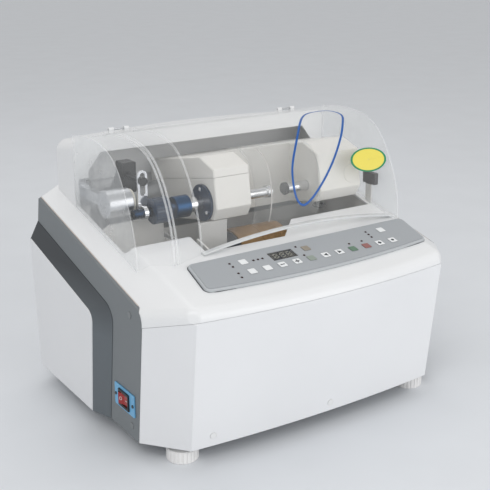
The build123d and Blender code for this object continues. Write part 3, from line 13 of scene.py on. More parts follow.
import bmesh
import bpy
from mathutils import Matrix, Vector
from mathutils.bvhtree import BVHTree


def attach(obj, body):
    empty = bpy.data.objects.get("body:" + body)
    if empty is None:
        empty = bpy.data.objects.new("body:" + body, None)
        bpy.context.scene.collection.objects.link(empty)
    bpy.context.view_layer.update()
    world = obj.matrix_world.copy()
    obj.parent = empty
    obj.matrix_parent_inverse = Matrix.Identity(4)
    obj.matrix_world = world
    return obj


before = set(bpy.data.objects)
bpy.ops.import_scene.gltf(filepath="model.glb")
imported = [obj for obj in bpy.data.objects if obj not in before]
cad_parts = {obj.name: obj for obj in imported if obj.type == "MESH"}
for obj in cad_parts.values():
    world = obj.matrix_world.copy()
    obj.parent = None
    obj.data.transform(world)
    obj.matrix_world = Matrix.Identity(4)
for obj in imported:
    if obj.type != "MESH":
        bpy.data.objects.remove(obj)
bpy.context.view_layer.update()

LOG = logging.getLogger("lens_edger")
MM = 0.001
DEPTH_SHIFT = 146.49771 * MM

Point = tuple[float, float]
Colour = tuple[float, float, float]


class Body(Enum):
    """The rigid bodies that the scene's own pieces ride on."""

    HOUSING = "housing"
    COVER = "cover"
    CARRIAGE = "carriage"
    SWITCH = "mains_switch"


def at(x: float, depth: float, height: float) -> Vector:
    """A place given in millimetres from the front feet, moved into the frame.

    Args:
        x: Millimetres to the right of the middle.
        depth: Millimetres behind the line of the front feet.
        height: Millimetres above the floor.

    Returns:
        The place in metres.
    """
    return Vector((x * MM, depth * MM - DEPTH_SHIFT, height * MM))


def linear(red: int, green: int, blue: int) -> Colour:
    """A screen colour turned into scene-linear light.

    Args:
        red: Red from 0 to 255.
        green: Green from 0 to 255.
        blue: Blue from 0 to 255.

    Returns:
        The linear colour.
    """
    shares = [value / 255.0 for value in (red, green, blue)]
    return tuple(s / 12.92 if s <= 0.04045 else ((s + 0.055) / 1.055) ** 2.4 for s in shares)


class Value:
    """A number socket whose operators add Math nodes."""

    def __init__(self, graph: "Graph", socket: bpy.types.NodeSocket) -> None:
        """Wraps one output socket of a graph."""
        self.graph = graph
        self.socket = socket

    def _join(self, operation: str, first: "Value | float", second: "Value | float") -> "Value":
        """Adds one Math node.

        Args:
            operation: The Math node's operation.
            first: The first operand.
            second: The second operand.

        Returns:
            The node's result.
        """
        node = self.graph.node("ShaderNodeMath", {"operation": operation}, {0: first, 1: second})
        return Value(self.graph, node.outputs[0])

    def __add__(self, other: "Value | float") -> "Value":
        """The sum."""
        return self._join("ADD", self, other)

    def __radd__(self, other: float) -> "Value":
        """The sum with a number on the left."""
        return self._join("ADD", other, self)

    def __sub__(self, other: "Value | float") -> "Value":
        """The difference."""
        return self._join("SUBTRACT", self, other)

    def __rsub__(self, other: float) -> "Value":
        """The difference from a number on the left."""
        return self._join("SUBTRACT", other, self)

    def __mul__(self, other: "Value | float") -> "Value":
        """The product."""
        return self._join("MULTIPLY", self, other)

    def __rmul__(self, other: float) -> "Value":
        """The product with a number on the left."""
        return self._join("MULTIPLY", other, self)

    def __pow__(self, other: float) -> "Value":
        """The power."""
        return self._join("POWER", self, other)


class Graph:
    """The node tree of one material."""

    def __init__(self, name: str) -> None:
        """Makes an empty material.

        Args:
            name: The material's name.
        """
        self.material = bpy.data.materials.new(name)
        self.material.use_nodes = True
        self.tree = self.material.node_tree
        self.tree.nodes.clear()

    def node(self, kind: str, settings: dict | None = None, inputs: dict | None = None) -> bpy.types.Node:
        """Adds one node.

        Args:
            kind: The node's type.
            settings: Properties that are set first.
            inputs: Numbers, colours or links for its sockets, by name or number.

        Returns:
            The new node.
        """
        node = self.tree.nodes.new(kind)
        for key, value in (settings or {}).items():
            if key == "ramp":
                self._fill_ramp(node, value)
            else:
                setattr(node, key, value)
        for key, value in (inputs or {}).items():
            socket = node.inputs[key]
            if isinstance(value, Value):
                self.tree.links.new(value.socket, socket)
            elif isinstance(value, bpy.types.NodeSocket):
                self.tree.links.new(value, socket)
            else:
                socket.default_value = value
        return node

    @staticmethod
    def _fill_ramp(node: bpy.types.Node, stops: Sequence[tuple[float, float]]) -> None:
        """Sets a grey ramp's stops.

        Args:
            node: The ramp's node.
            stops: Each stop's position and level, from 0 to 1.
        """
        ramp = node.color_ramp
        while len(ramp.elements) > 1:
            ramp.elements.remove(ramp.elements[-1])
        ramp.elements[0].position = stops[0][0]
        ramp.elements[0].color = (*[stops[0][1]] * 3, 1.0)
        for position, level in stops[1:]:
            ramp.elements.new(position).color = (*[level] * 3, 1.0)

    def noise(self, size: float, detail: float = 3.0, stretch: Sequence[float] = (1.0, 1.0, 1.0)) -> Value:
        """Noise on the object's own coordinates.

        Args:
            size: The size of its patches in metres.
            detail: The number of octaves.
            stretch: A share of the scale along each axis.

        Returns:
            The noise from 0 to 1.
        """
        coordinates = self.node("ShaderNodeTexCoord").outputs["Object"]
        mapping = self.node("ShaderNodeMapping", {}, {"Vector": coordinates, "Scale": tuple(stretch)})
        noise = self.node(
            "ShaderNodeTexNoise", {}, {"Vector": mapping.outputs[0], "Scale": 1.0 / size, "Detail": detail}
        )
        return Value(self, noise.outputs[0])

    def ramp(self, value: Value, stops: Sequence[tuple[float, float]]) -> Value:
        """A number sent through a grey ramp."""
        node = self.node("ShaderNodeValToRGB", {"ramp": stops}, {0: value})
        return Value(self, node.outputs[0])

    @staticmethod
    def tone(colour: Colour | bpy.types.NodeSocket) -> tuple[float, ...] | bpy.types.NodeSocket:
        """A colour as an input takes it: a socket as it is, three numbers as four."""
        return (*colour, 1.0) if isinstance(colour, tuple) else colour

    def blend(
        self, share: Value, first: Colour | bpy.types.NodeSocket, second: Colour | bpy.types.NodeSocket
    ) -> bpy.types.NodeSocket:
        """Two colours mixed by a share.

        Args:
            share: The second colour's share.
            first: The first colour, as numbers or a socket.
            second: The second colour, as numbers or a socket.

        Returns:
            The mixed colour.
        """
        node = self.node(
            "ShaderNodeMix",
            {"data_type": "RGBA"},
            {"Factor": share, 6: self.tone(first), 7: self.tone(second)},
        )
        return node.outputs[2]

    def bump(
        self, height: Value, distance: float, strength: float, edge: float = 0.0
    ) -> bpy.types.NodeSocket:
        """A normal from a height.

        Args:
            height: The height from 0 to 1.
            distance: How far a height of 1 stands out.
            strength: The share of it that shows.
            edge: The radius that hard edges are rounded by.

        Returns:
            The normal.
        """
        inputs = {"Height": height, "Distance": distance, "Strength": strength}
        if edge > 0.0:
            inputs["Normal"] = self.soft_edges(edge)
        return self.node("ShaderNodeBump", {}, inputs).outputs[0]

    def axis(self, index: int) -> Value:
        """One of the object's own coordinates.

        Args:
            index: 0 for X, 1 for Y and 2 for Z.

        Returns:
            The coordinate in metres.
        """
        coordinates = self.node("ShaderNodeTexCoord").outputs["Object"]
        split = self.node("ShaderNodeSeparateXYZ", {}, {0: coordinates})
        return Value(self, split.outputs[index])

    def streak(self, value: Value, middle: float, reach: float) -> Value:
        """A soft line that is 1 where a value equals its middle.

        Args:
            value: The value to look at.
            middle: Where the line lies.
            reach: How far it fades out on each side.

        Returns:
            The line's strength from 0 to 1.
        """
        share = (value - (middle - reach)) * (0.5 / reach)
        return self.ramp(share, [(0.0, 0.0), (0.5, 1.0), (1.0, 0.0)])

    def step(self, value: Value, limit: float) -> Value:
        """A mask that is 1 where a value exceeds its limit."""
        node = self.node("ShaderNodeMath", {"operation": "GREATER_THAN"}, {0: value, 1: limit})
        return Value(self, node.outputs[0])

    def soft_edges(self, radius: float) -> bpy.types.NodeSocket:
        """A normal that rounds the hard edges by a radius."""
        return self.node("ShaderNodeBevel", {"samples": 4}, {"Radius": radius}).outputs[0]

    def principled(self, inputs: dict) -> bpy.types.Material:
        """Ends the material with one Principled shader.

        Args:
            inputs: Numbers, colours or links for its sockets, by name.

        Returns:
            The material.
        """
        shader = self.node("ShaderNodeBsdfPrincipled", {}, inputs)
        self.node("ShaderNodeOutputMaterial", {}, {"Surface": shader.outputs[0]})
        return self.material


@dataclass(frozen=True)
class Finish:
    """What every finish has: a name, a colour and a roughness."""

    name: str
    colour: Colour
    roughness: float = 0.4

    def material(self) -> bpy.types.Material:
        """The material, made on first use."""
        found = bpy.data.materials.get(self.name)
        return found if found else self.build()

    def build(self) -> bpy.types.Material:
        """Makes the material's nodes."""
        raise NotImplementedError

    def shade(self, amount: float) -> Colour:
        """The colour made darker or lighter by a share."""
        return tuple(min(1.0, max(0.0, part * (1.0 + amount))) for part in self.colour)

    def mottled(self, graph: Graph, share: Value, darker: float, lighter: float) -> bpy.types.NodeSocket:
        """The colour, varied over the surface.

        Args:
            graph: The material's graph.
            share: From 0 where it is darkest to 1 where it is lightest.
            darker: The darkest shade's difference, as a share of the colour.
            lighter: The lightest shade's difference.

        Returns:
            The varied colour.
        """
        return graph.blend(share, self.shade(darker), self.shade(lighter))

    def gloss(self, share: Value, least: float, spread: float) -> Value:
        """The roughness, varied over the surface.

        Args:
            share: From 0 where it is glossiest to 1 where it is dullest.
            least: The least roughness, as a share of the finish's own.
            spread: How much more it grows, as such a share.

        Returns:
            The varied roughness.
        """
        return self.roughness * least + share * (self.roughness * spread)


@dataclass(frozen=True)
class Coating(Finish):
    """Paint or moulded plastic: an even colour with a fine skin texture."""

    skin: float = 0.0011
    relief: float = 0.06
    tint: float = 0.03
    coat: float = 0.0
    edge: float = 0.0008
    cloud_size: float = 0.12
    cloud_share: float = 0.6
    skin_depth: float = 0.15

    def colour_over(self, graph: Graph) -> bpy.types.NodeSocket:
        """The cloudy colour."""
        return self.mottled(graph, graph.noise(self.cloud_size, detail=2.0), -self.tint, self.tint)

    def build(self) -> bpy.types.Material:
        """Makes cloudy colour, uneven gloss and a fine bumpy skin."""
        graph = Graph(self.name)
        cloud = graph.noise(self.cloud_size, detail=2.0)
        fine = graph.noise(self.skin, detail=2.0)
        colour = self.colour_over(graph)
        uneven = cloud * self.cloud_share + fine * (1.0 - self.cloud_share)
        return graph.principled(
            {
                "Base Color": colour,
                "Roughness": self.gloss(uneven, least=0.9, spread=0.2),
                "Coat Weight": self.coat,
                "Normal": graph.bump(fine, self.skin * self.skin_depth, self.relief, self.edge),
            }
        )


@dataclass(frozen=True)
class SplitCoating(Coating):
    """A coating whose colour changes past a limit along one axis."""

    second: Colour = (0.5, 0.5, 0.5)
    axis: int = 0
    limit: float = 0.0
    spread: float = 0.0005

    def colour_over(self, graph: Graph) -> bpy.types.NodeSocket:
        """The first colour up to the limit and the second past it, on both sides of the middle.

        Args:
            graph: The material's graph.

        Returns:
            The split colour.
        """
        place = graph.node("ShaderNodeMath", {"operation": "ABSOLUTE"}, {0: graph.axis(self.axis)})
        share = (Value(graph, place.outputs[0]) - self.limit) * (1.0 / self.spread)
        past = graph.ramp(share, [(0.0, 0.0), (1.0, 1.0)])
        return graph.blend(past, self.colour, self.second)


@dataclass(frozen=True)
class Metal(Finish):
    """Turned or brushed metal with fine lines along an axis."""

    lines: Sequence[float] = (1.0, 12.0, 12.0)
    relief: float = 0.1
    line_size: float = 0.004
    line_depth: float = 0.0001
    cloud_size: float = 0.03
    edge: float = 0.0004

    def colour_over(self, graph: Graph, streaks: Value) -> bpy.types.NodeSocket:
        """The streaked colour."""
        return self.mottled(graph, streaks, darker=-0.12, lighter=0.08)

    def build(self) -> bpy.types.Material:
        """Makes streaked gloss and a fine brushed relief."""
        graph = Graph(self.name)
        streaks = graph.noise(self.line_size, 4.0, self.lines)
        cloud = graph.noise(self.cloud_size, detail=2.0)
        colour = self.colour_over(graph, streaks)
        return graph.principled(
            {
                "Base Color": colour,
                "Metallic": 1.0,
                "Roughness": self.gloss(streaks * 0.5 + cloud * 0.5, least=0.8, spread=0.5),
                "Normal": graph.bump(streaks, self.line_depth, self.relief, self.edge),
            }
        )


@dataclass(frozen=True)
class SplitMetal(Metal):
    """Metal that is coloured to the left of a limit."""

    second: Colour = (0.5, 0.5, 0.5)
    limit: float = 0.0

    def colour_over(self, graph: Graph, streaks: Value) -> bpy.types.NodeSocket:
        """The first colour to the right of the limit and the second to its left."""
        plain = super().colour_over(graph, streaks)
        return graph.blend(graph.step(graph.axis(0), self.limit), self.second, plain)


@dataclass(frozen=True)
class Grit(Finish):
    """Bonded abrasive: dark grains in a warm bond."""

    grain_size: float = 0.0012
    grain_detail: float = 5.0
    grain_stops: tuple[Point, ...] = ((0.35, 0.0), (0.65, 1.0))
    grain_share: float = 0.6
    grain_roughness: float = 0.3
    grain_depth: float = 0.0004
    relief: float = 0.5
    stain_size: float = 0.02
    metallic: float = 0.35

    def build(self) -> bpy.types.Material:
        """Makes speckled colour and a gritty relief."""
        graph = Graph(self.name)
        grain = graph.ramp(graph.noise(self.grain_size, self.grain_detail), self.grain_stops)
        stain = graph.noise(self.stain_size)
        speckle = grain * self.grain_share + stain * (1.0 - self.grain_share)
        return graph.principled(
            {
                "Base Color": self.mottled(graph, speckle, darker=-0.45, lighter=0.35),
                "Metallic": self.metallic,
                "Roughness": self.roughness + grain * self.grain_roughness,
                "Normal": graph.bump(grain, self.grain_depth, self.relief),
            }
        )


@dataclass(frozen=True)
class ClearSheet(Finish):
    """Clear moulded sheet: see-through face on, pale at its edges, with painted highlight lines along its
    creases.

    Each crease highlight is its place across the sheet and how far it fades, in metres.
    """

    face_alpha: float = 0.035
    edge_alpha: float = 0.55
    crease_highlight_alpha: float = 0.6
    crease_highlights: tuple[Point, ...] = ()
    smear_size: float = 0.06
    smear_stretch: tuple[float, float, float] = (1.0, 1.0, 0.3)
    smear_stops: tuple[Point, ...] = ((0.35, 0.0), (0.8, 1.0))
    highlight_wobble_size: float = 0.03
    rim_blend: float = 0.3
    rim_power: float = 4.0

    def build(self) -> bpy.types.Material:
        """Makes a clear glossy sheet with faint smears and painted highlight lines along its creases."""
        graph = Graph(self.name)
        smear = graph.ramp(graph.noise(self.smear_size, stretch=self.smear_stretch), self.smear_stops)
        weight = graph.node("ShaderNodeLayerWeight", {}, {"Blend": self.rim_blend})
        glancing = Value(graph, weight.outputs["Facing"])
        alpha = self.face_alpha + smear * self.face_alpha + (glancing**self.rim_power) * self.edge_alpha
        across = graph.axis(0)
        highlight_wobble = graph.noise(self.highlight_wobble_size, detail=2.0) * 0.5 + 0.5
        # Painted highlights: each crease line is made paler and less clear, as if it caught the light.
        for middle, reach in self.crease_highlights:
            alpha = alpha + graph.streak(across, middle, reach) * highlight_wobble * self.crease_highlight_alpha
        return graph.principled(
            {
                "Base Color": self.mottled(graph, smear, darker=-0.02, lighter=0.0),
                "Roughness": self.gloss(smear, least=0.8, spread=0.4),
                "Alpha": alpha,
            }
        )


@dataclass(frozen=True)
class Lamp(Finish):
    """A small lamp or lit segment that glows a little."""

    glow: float = 0.6
    uneven: float = 0.05
    cloud_size: float = 0.002

    def build(self) -> bpy.types.Material:
        """Makes a faintly glowing lens."""
        graph = Graph(self.name)
        cloud = graph.noise(self.cloud_size, detail=2.0)
        colour = self.mottled(graph, cloud, darker=-0.2, lighter=0.2)
        return graph.principled(
            {
                "Base Color": colour,
                "Roughness": self.roughness * 0.9 + cloud * self.uneven,
                "Emission Color": colour,
                "Emission Strength": self.glow,
            }
        )


WHITE_PAINT = Coating("white_paint", linear(233, 234, 236), 0.36, coat=0.15)
WHITE_MOULDING = Coating("white_moulding", linear(235, 236, 237), 0.33, skin=0.0014, coat=0.2, edge=0.0012)
CREAM_MOULDING = Coating("cream_moulding", linear(229, 227, 222), 0.42, skin=0.0010)
GREY_BAND = Coating("grey_band_paint", linear(119, 124, 127), 0.45, relief=0.1)
DARK_BEVEL = SplitCoating(
    "dark_bevel_paint",
    linear(100, 107, 112),
    0.48,
    second=linear(62, 66, 70),
    axis=2,
    limit=0.15,
    spread=0.07,
)
PANEL_GREY = Coating("panel_edge", linear(186, 190, 193), 0.4, skin=0.0008, relief=0.1)
FILM_GREY = Coating("film_grey", linear(166, 170, 174), 0.48, skin=0.0005, relief=0.1)
KEY_WHITE = Coating("key_white", linear(238, 240, 241), 0.4, skin=0.0004)
KEY_GREEN = Coating("key_green", linear(98, 128, 108), 0.42, skin=0.0004)
KEY_RED = Coating("key_red", linear(150, 98, 94), 0.42, skin=0.0004)
KEY_OLIVE = Coating("key_olive", linear(146, 156, 146), 0.42, skin=0.0004)
KEY_BROWN = Coating("key_brown", linear(150, 141, 128), 0.42, skin=0.0004)
INK = Coating("print_ink", linear(40, 44, 52), 0.5, skin=0.0004)
WINDOW = Coating("window_smoke", linear(38, 36, 30), 0.15, skin=0.003, coat=0.6)
SEGMENTS = Lamp("display_segments", linear(150, 150, 140), 0.4, glow=0.05)
LAMP_LENS = Lamp("lamp_lens", linear(54, 30, 30), 0.25, glow=0.05)
SWITCH_BLUE = Coating("switch_plate_blue", linear(112, 178, 220), 0.35, relief=0.04)
BLACK_MOULDING = Coating("black_moulding", linear(28, 29, 31), 0.42, tint=0.1)
BLACK_GLOSS = Coating("blue_black", linear(6, 38, 66), 0.28, tint=0.1, coat=0.15)
ROCKER_RED = Coating("rocker_red", linear(170, 34, 26), 0.24, coat=0.5, tint=0.08)
RUBBER = Coating("rubber", linear(30, 30, 30), 0.7, skin=0.0008, relief=0.25, tint=0.15)
GREY_RUBBER = Coating("grey_apron", linear(198, 197, 194), 0.55, skin=0.0010, relief=0.2)
TUB_GREY = Coating("tub_moulding", linear(214, 213, 210), 0.45, skin=0.0012)
BOARD_GREEN = Coating("board_green", linear(40, 96, 62), 0.45)
MOTOR_PAINT = Coating("motor_paint", linear(66, 70, 74), 0.45, relief=0.15)
PALE_CAM = Coating("pale_cam", linear(222, 216, 198), 0.5)
STEEL = Metal("turned_steel", linear(196, 198, 201), 0.28)
CHROME = Metal("polished_steel", linear(228, 229, 231), 0.12, relief=0.03)
ZINC = Metal("zinc_sheet", linear(188, 190, 192), 0.42, lines=(1.0, 3.0, 1.0))
CASTING = Metal("fine_casting", linear(178, 180, 182), 0.5, lines=(1.0, 1.0, 1.0), relief=0.25)
BLUE_RING = Metal("blue_anodised", linear(40, 72, 106), 0.3)
BRONZE = Grit("bronze_bond", linear(172, 140, 100), 0.5)
# The clear cover's creases and side corners get painted highlight lines at these places across it.
CLEAR = ClearSheet(
    "clear_cover",
    (0.95, 0.97, 0.98),
    0.05,
    crease_highlights=((-0.2245, 0.0012), (-0.1778, 0.0013), (-0.1722, 0.0016), (-0.128, 0.0011), (0.2245, 0.0016)),
)
CLEAR_LIP = Coating("pale_lip", linear(226, 228, 229), 0.15, skin=0.003, coat=0.4)
STICKER_BLUE = Coating("sticker_blue", linear(14, 88, 168), 0.35, skin=0.0008)
STICKER_YELLOW = Coating("sticker_yellow", linear(238, 222, 98), 0.35, skin=0.0008)
STICKER_GREEN = Coating("sticker_green", linear(20, 140, 96), 0.35, skin=0.0008)
CAP_WHITE = Coating("foot_white", linear(242, 241, 240), 0.4)
CAP_SPLIT = SplitCoating("screw_cap", linear(232, 233, 233), 0.4, second=linear(126, 130, 132), limit=0.23)
BLOCK_SPLIT = SplitCoating(
    "interlock", linear(214, 214, 212), 0.45, second=linear(70, 68, 70), axis=2, limit=0.294
)
SEAL_DARK = Coating("seal_dark", linear(70, 74, 78), 0.6, skin=0.0006)
BEAD_BEIGE = Coating("bead_beige", linear(206, 196, 188), 0.5, skin=0.0006)
MARK_WHITE = Coating("mark_white", linear(236, 232, 228), 0.45, skin=0.0004)
SHAFT_SPLIT = SplitMetal(
    "lens_shaft_steel", linear(226, 227, 229), 0.14, relief=0.03, second=linear(26, 46, 70), limit=-0.128
)
GUARD = ClearSheet("lens_guard", (0.86, 0.88, 0.86), 0.06, face_alpha=0.06, edge_alpha=0.5)
FLOOR = Coating("studio_floor", linear(226, 229, 233), 0.8, skin=0.01, relief=0.0)
WALL_COLOUR = linear(214, 218, 223)

NODE_FINISHES: dict[str, Finish] = {
    "base_tray": ZINC,
    "feet": CAP_WHITE,
    "chassis_frame": ZINC,
    "front_panel": WHITE_PAINT,
    "screw_caps": CAP_SPLIT,
    "side_band_left": GREY_BAND,
    "side_band_right": GREY_BAND,
    "side_bevel_left": DARK_BEVEL,
    "side_bevel_right": DARK_BEVEL,
    "side_panel_left": WHITE_PAINT,
    "side_panel_right": WHITE_PAINT,
    "top_cover": WHITE_MOULDING,
    "rear_panel": WHITE_PAINT,
    "power_inlet": BLACK_MOULDING,
    "water_inlet": BLACK_MOULDING,
    "drain_outlet": BLACK_MOULDING,
    "control_panel": PANEL_GREY,
    "keypad_overlay": FILM_GREY,
    "display_window": WINDOW,
    "indicator_lights": LAMP_LENS,
    "control_board": BOARD_GREEN,
    "switch_plate": SWITCH_BLUE,
    "switch_frame": BLACK_MOULDING,
    "rocker": ROCKER_RED,
    "switch_screws": SEAL_DARK,
    "power_supply": ZINC,
    "clear_cover": CLEAR,
    "cover_lip": CLEAR_LIP,
    "hinge_pins": STEEL,
    "splash_tub": TUB_GREY,
    "pattern_tray": TUB_GREY,
    "pattern_shoe": STEEL,
    "wheel_spindle": STEEL,
    "roughing_wheel": BRONZE,
    "bevel_wheel": BRONZE,
    "polishing_wheel": BRONZE,
    "wheel_flange": MOTOR_PAINT,
    "spindle_bearings": CASTING,
    "grinding_motor": MOTOR_PAINT,
    "motor_pulley": STEEL,
    "drive_belt": RUBBER,
    "swing_shaft": CHROME,
    "shaft_brackets": CASTING,
    "carriage_frame": CASTING,
    "head_lower": CREAM_MOULDING,
    "head_lid": CREAM_MOULDING,
    "arm_cover": CREAM_MOULDING,
    "spray_apron": GREY_RUBBER,
    "bearing_flange": BLACK_GLOSS,
    "coolant_nozzle": BLACK_MOULDING,
    "lens_shaft": SHAFT_SPLIT,
    "shaft_knob": BLACK_GLOSS,
    "pattern_coupling": BLUE_RING,
    "clamp_quill": CHROME,
    "clamp_pad": RUBBER,
    "drive_motor": BLACK_MOULDING,
    "slotted_link": CHROME,
    "size_motor": STEEL,
    "size_cam": PALE_CAM,
    "interlock_switch": BLOCK_SPLIT,
}


def add_piece(name: str, mesh: bpy.types.Mesh, finish: Finish, body: Body) -> None:
    """Adds one finished piece and fixes it to its body.

    Args:
        name: The piece's name.
        mesh: Its mesh, already in place.
        finish: Its finish.
        body: The body that it rides on.
    """
    piece = bpy.data.objects.new(name, mesh)
    bpy.context.scene.collection.objects.link(piece)
    mesh.materials.clear()
    mesh.materials.append(finish.material())
    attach(piece, body.value)
    LOG.info("%s: %d faces on %s", name, len(mesh.polygons), body.value)


class Sketch:
    """Collects flat outlines, tiles and turned shapes into one mesh."""

    def __init__(self) -> None:
        """Starts with no faces."""
        self.shape = bmesh.new()

    def row(self, outline: Sequence[Point], place: Matrix, height: float) -> list[bmesh.types.BMVert]:
        """Adds an outline's points at a height.

        Args:
            outline: The points.
            place: Where the outline's own frame lies.
            height: The height in that frame.

        Returns:
            The new points.
        """
        return [self.shape.verts.new(place @ Vector((x, y, height))) for x, y in outline]

    def skirt(self, first: Sequence[bmesh.types.BMVert], second: Sequence[bmesh.types.BMVert]) -> None:
        """Joins two closed rows of as many points with a band of faces.

        Args:
            first: The first row.
            second: The second row, point for point.
        """
        for index in range(len(first)):
            after = (index + 1) % len(first)
            self.shape.faces.new((first[index], first[after], second[after], second[index]))

    def prism(self, outline: Sequence[Point], place: Matrix, low: float, high: float) -> None:
        """Adds an upright slab over an outline.

        Args:
            outline: Corner points, counter-clockwise.
            place: Where the outline's own frame lies.
            low: Height of the slab's underside in that frame.
            high: Height of its top.
        """
        bottom, top = self.row(outline, place, low), self.row(outline, place, high)
        self.shape.faces.new(top)
        self.shape.faces.new(bottom[::-1])
        self.skirt(bottom, top)

    def lathe(self, profile: Sequence[Point], sides: int) -> None:
        """Adds a shape turned about the Z axis.

        Args:
            profile: Points of (radius, height), from the bottom up on the outside.
            sides: The number of facets round it.
        """
        angles = [math.tau * index / sides for index in range(sides)]
        rings = []
        for radius, height in profile:
            turned = [(radius * math.cos(angle), radius * math.sin(angle)) for angle in angles]
            rings.append(self.row(turned if radius > 0.0 else [(0.0, 0.0)], Matrix.Identity(4), height))
        for lower, upper in zip(rings, rings[1:]):
            for index in range(sides):
                after = (index + 1) % sides
                corners = [lower[index % len(lower)], lower[after % len(lower)]]
                corners += [upper[after % len(upper)], upper[index % len(upper)]]
                unique = list(dict.fromkeys(corners))
                if len(unique) > 2:
                    self.shape.faces.new(unique)

    def ring(
        self, outer: Sequence[Point], inner: Sequence[Point], place: Matrix, low: float, high: float
    ) -> None:
        """Adds a flat ring between two outlines of as many points.

        Args:
            outer: The outer outline, counter-clockwise.
            inner: The inner outline, point for point.
            place: Where the outlines' own frame lies.
            low: Height of the ring's underside.
            high: Height of its top.
        """
        edges = ((outer, low), (outer, high), (inner, high), (inner, low))
        loops = [self.row(points, place, height) for points, height in edges]
        for first, second in zip(loops, loops[1:] + loops[:1]):
            self.skirt(first, second)

    def beam(self, start: Vector, end: Vector, side: Vector, rise: Vector) -> None:
        """Adds a straight bar with a four-cornered section.

        Args:
            start: The middle of its first end's foot.
            end: The middle of its other end's foot.
            side: From its middle to one side.
            rise: From its foot to its top.
        """
        ends = []
        for spot in (start, end):
            corners = (spot - side, spot + side, spot + side + rise, spot - side + rise)
            ends.append([self.shape.verts.new(corner) for corner in corners])
        first, last = ends
        self.shape.faces.new(first[::-1])
        self.shape.faces.new(last)
        self.skirt(first, last)

    def sheet(self, rows: Sequence[Sequence[Vector]], thickness: Sequence[Vector]) -> None:
        """Adds a closed sheet over a grid of points.

        Args:
            rows: The grid's rows, each with as many points.
            thickness: For each row, the way from its face to its back.
        """
        front = [[self.shape.verts.new(point) for point in row] for row in rows]
        back = [[self.shape.verts.new(point + way) for point in row] for row, way in zip(rows, thickness)]
        last_row, last = len(rows) - 1, len(rows[0]) - 1
        for row in range(last_row):
            for index in range(last):
                a, b = (row, index), (row, index + 1)
                c, d = (row + 1, index + 1), (row + 1, index)
                self.shape.faces.new([front[r][i] for r, i in (a, b, c, d)])
                self.shape.faces.new([back[r][i] for r, i in (d, c, b, a)])
        rim = [(0, index) for index in range(last)]
        rim += [(row, last) for row in range(last_row)]
        rim += [(last_row, index) for index in range(last, 0, -1)]
        rim += [(row, 0) for row in range(last_row, 0, -1)]
        for (r, i), (q, k) in zip(rim, rim[1:] + rim[:1]):
            self.shape.faces.new((front[q][k], front[r][i], back[r][i], back[q][k]))

    def mesh(self, name: str, smooth: bool = False) -> bpy.types.Mesh:
        """Ends the sketch.

        Args:
            name: The mesh's name.
            smooth: Whether its faces are shaded smooth.

        Returns:
            The mesh.
        """
        data = bpy.data.meshes.new(name)
        bmesh.ops.recalc_face_normals(self.shape, faces=self.shape.faces)
        for face in self.shape.faces:
            face.smooth = smooth
        self.shape.to_mesh(data)
        self.shape.free()
        return data

    def add(self, name: str, finish: Finish, body: Body, smooth: bool = False) -> None:
        """Ends the sketch and adds it as a piece.

        Args:
            name: The piece's name.
            finish: Its finish.
            body: The body that it rides on.
            smooth: Whether its faces are shaded smooth.
        """
        add_piece(name, self.mesh(name, smooth), finish, body)


def rounded(width: float, height: float, radius: float, steps: int = 4) -> list[Point]:
    """The corner points of a rounded rectangle, counter-clockwise.

    Args:
        width: Its width.
        height: Its height.
        radius: Its corners' radius.
        steps: Facets in each corner.

    Returns:
        The outline's points.
    """
    points = []
    for turn, (sx, sy) in enumerate([(1, 1), (-1, 1), (-1, -1), (1, -1)]):
        middle = (sx * (width / 2 - radius), sy * (height / 2 - radius))
        for step in range(steps + 1):
            angle = math.pi / 2 * (turn + step / steps)
            points.append((middle[0] + radius * math.cos(angle), middle[1] + radius * math.sin(angle)))
    return points


def circle(diameter: float, steps: int) -> list[Point]:
    """The points of a circle, counter-clockwise."""
    angles = [math.tau * step / steps for step in range(steps)]
    return [(diameter / 2 * math.cos(angle), diameter / 2 * math.sin(angle)) for angle in angles]


def smooth_line(points: Sequence[Point], steps: int, closed: bool = False) -> list[Point]:
    """More points along a smooth curve through some.

    Args:
        points: The points that the curve passes through.
        steps: Parts that each stretch is cut into.
        closed: Whether it goes back to its first point.

    Returns:
        The curve's points.
    """
    count = len(points)
    found: list[Point] = []
    for index in range(count if closed else count - 1):
        spots = [index + part for part in (-1, 0, 1, 2)]
        near = [points[spot % count if closed else min(max(spot, 0), count - 1)] for spot in spots]
        found += [between(near, step / steps) for step in range(steps)]
    return found if closed else found + [points[-1]]


def between(near: Sequence[Point], share: float) -> Point:
    """A point on the smooth curve through four points.

    Args:
        near: The four points.
        share: The share of the way from the second to the third.

    Returns:
        The point.
    """
    found = []
    for a, b, c, d in zip(*near):
        bend = (2.0 * a - 5.0 * b + 4.0 * c - d) * share + (-a + 3.0 * b - 3.0 * c + d) * share**2
        found.append(0.5 * (2.0 * b + (c - a) * share + bend * share))
    return (found[0], found[1])


def facing(spot: Vector, normal: Vector) -> Matrix:
    """The frame of a spot, with Z along a normal."""
    return Matrix.Translation(spot) @ normal.to_track_quat("Z", "Y").to_matrix().to_4x4()


def faces_of(name: str) -> BVHTree:
    """The faces of a CAD node, for laying points on them.

    Args:
        name: The node's name.

    Returns:
        The faces, ready for rays.
    """
    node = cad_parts[name]
    shape = bmesh.new()
    shape.from_mesh(node.data)
    shape.transform(node.matrix_world)
    tree = BVHTree.FromBMesh(shape)
    shape.free()
    return tree


class KeyMark(Enum):
    """The plain signs on the keys."""

    BARE = "bare"
    PLUS = "plus"
    MINUS = "minus"
    LEFT = "left"
    RIGHT = "right"
    DIAMOND = "diamond"
    DOT = "dot"


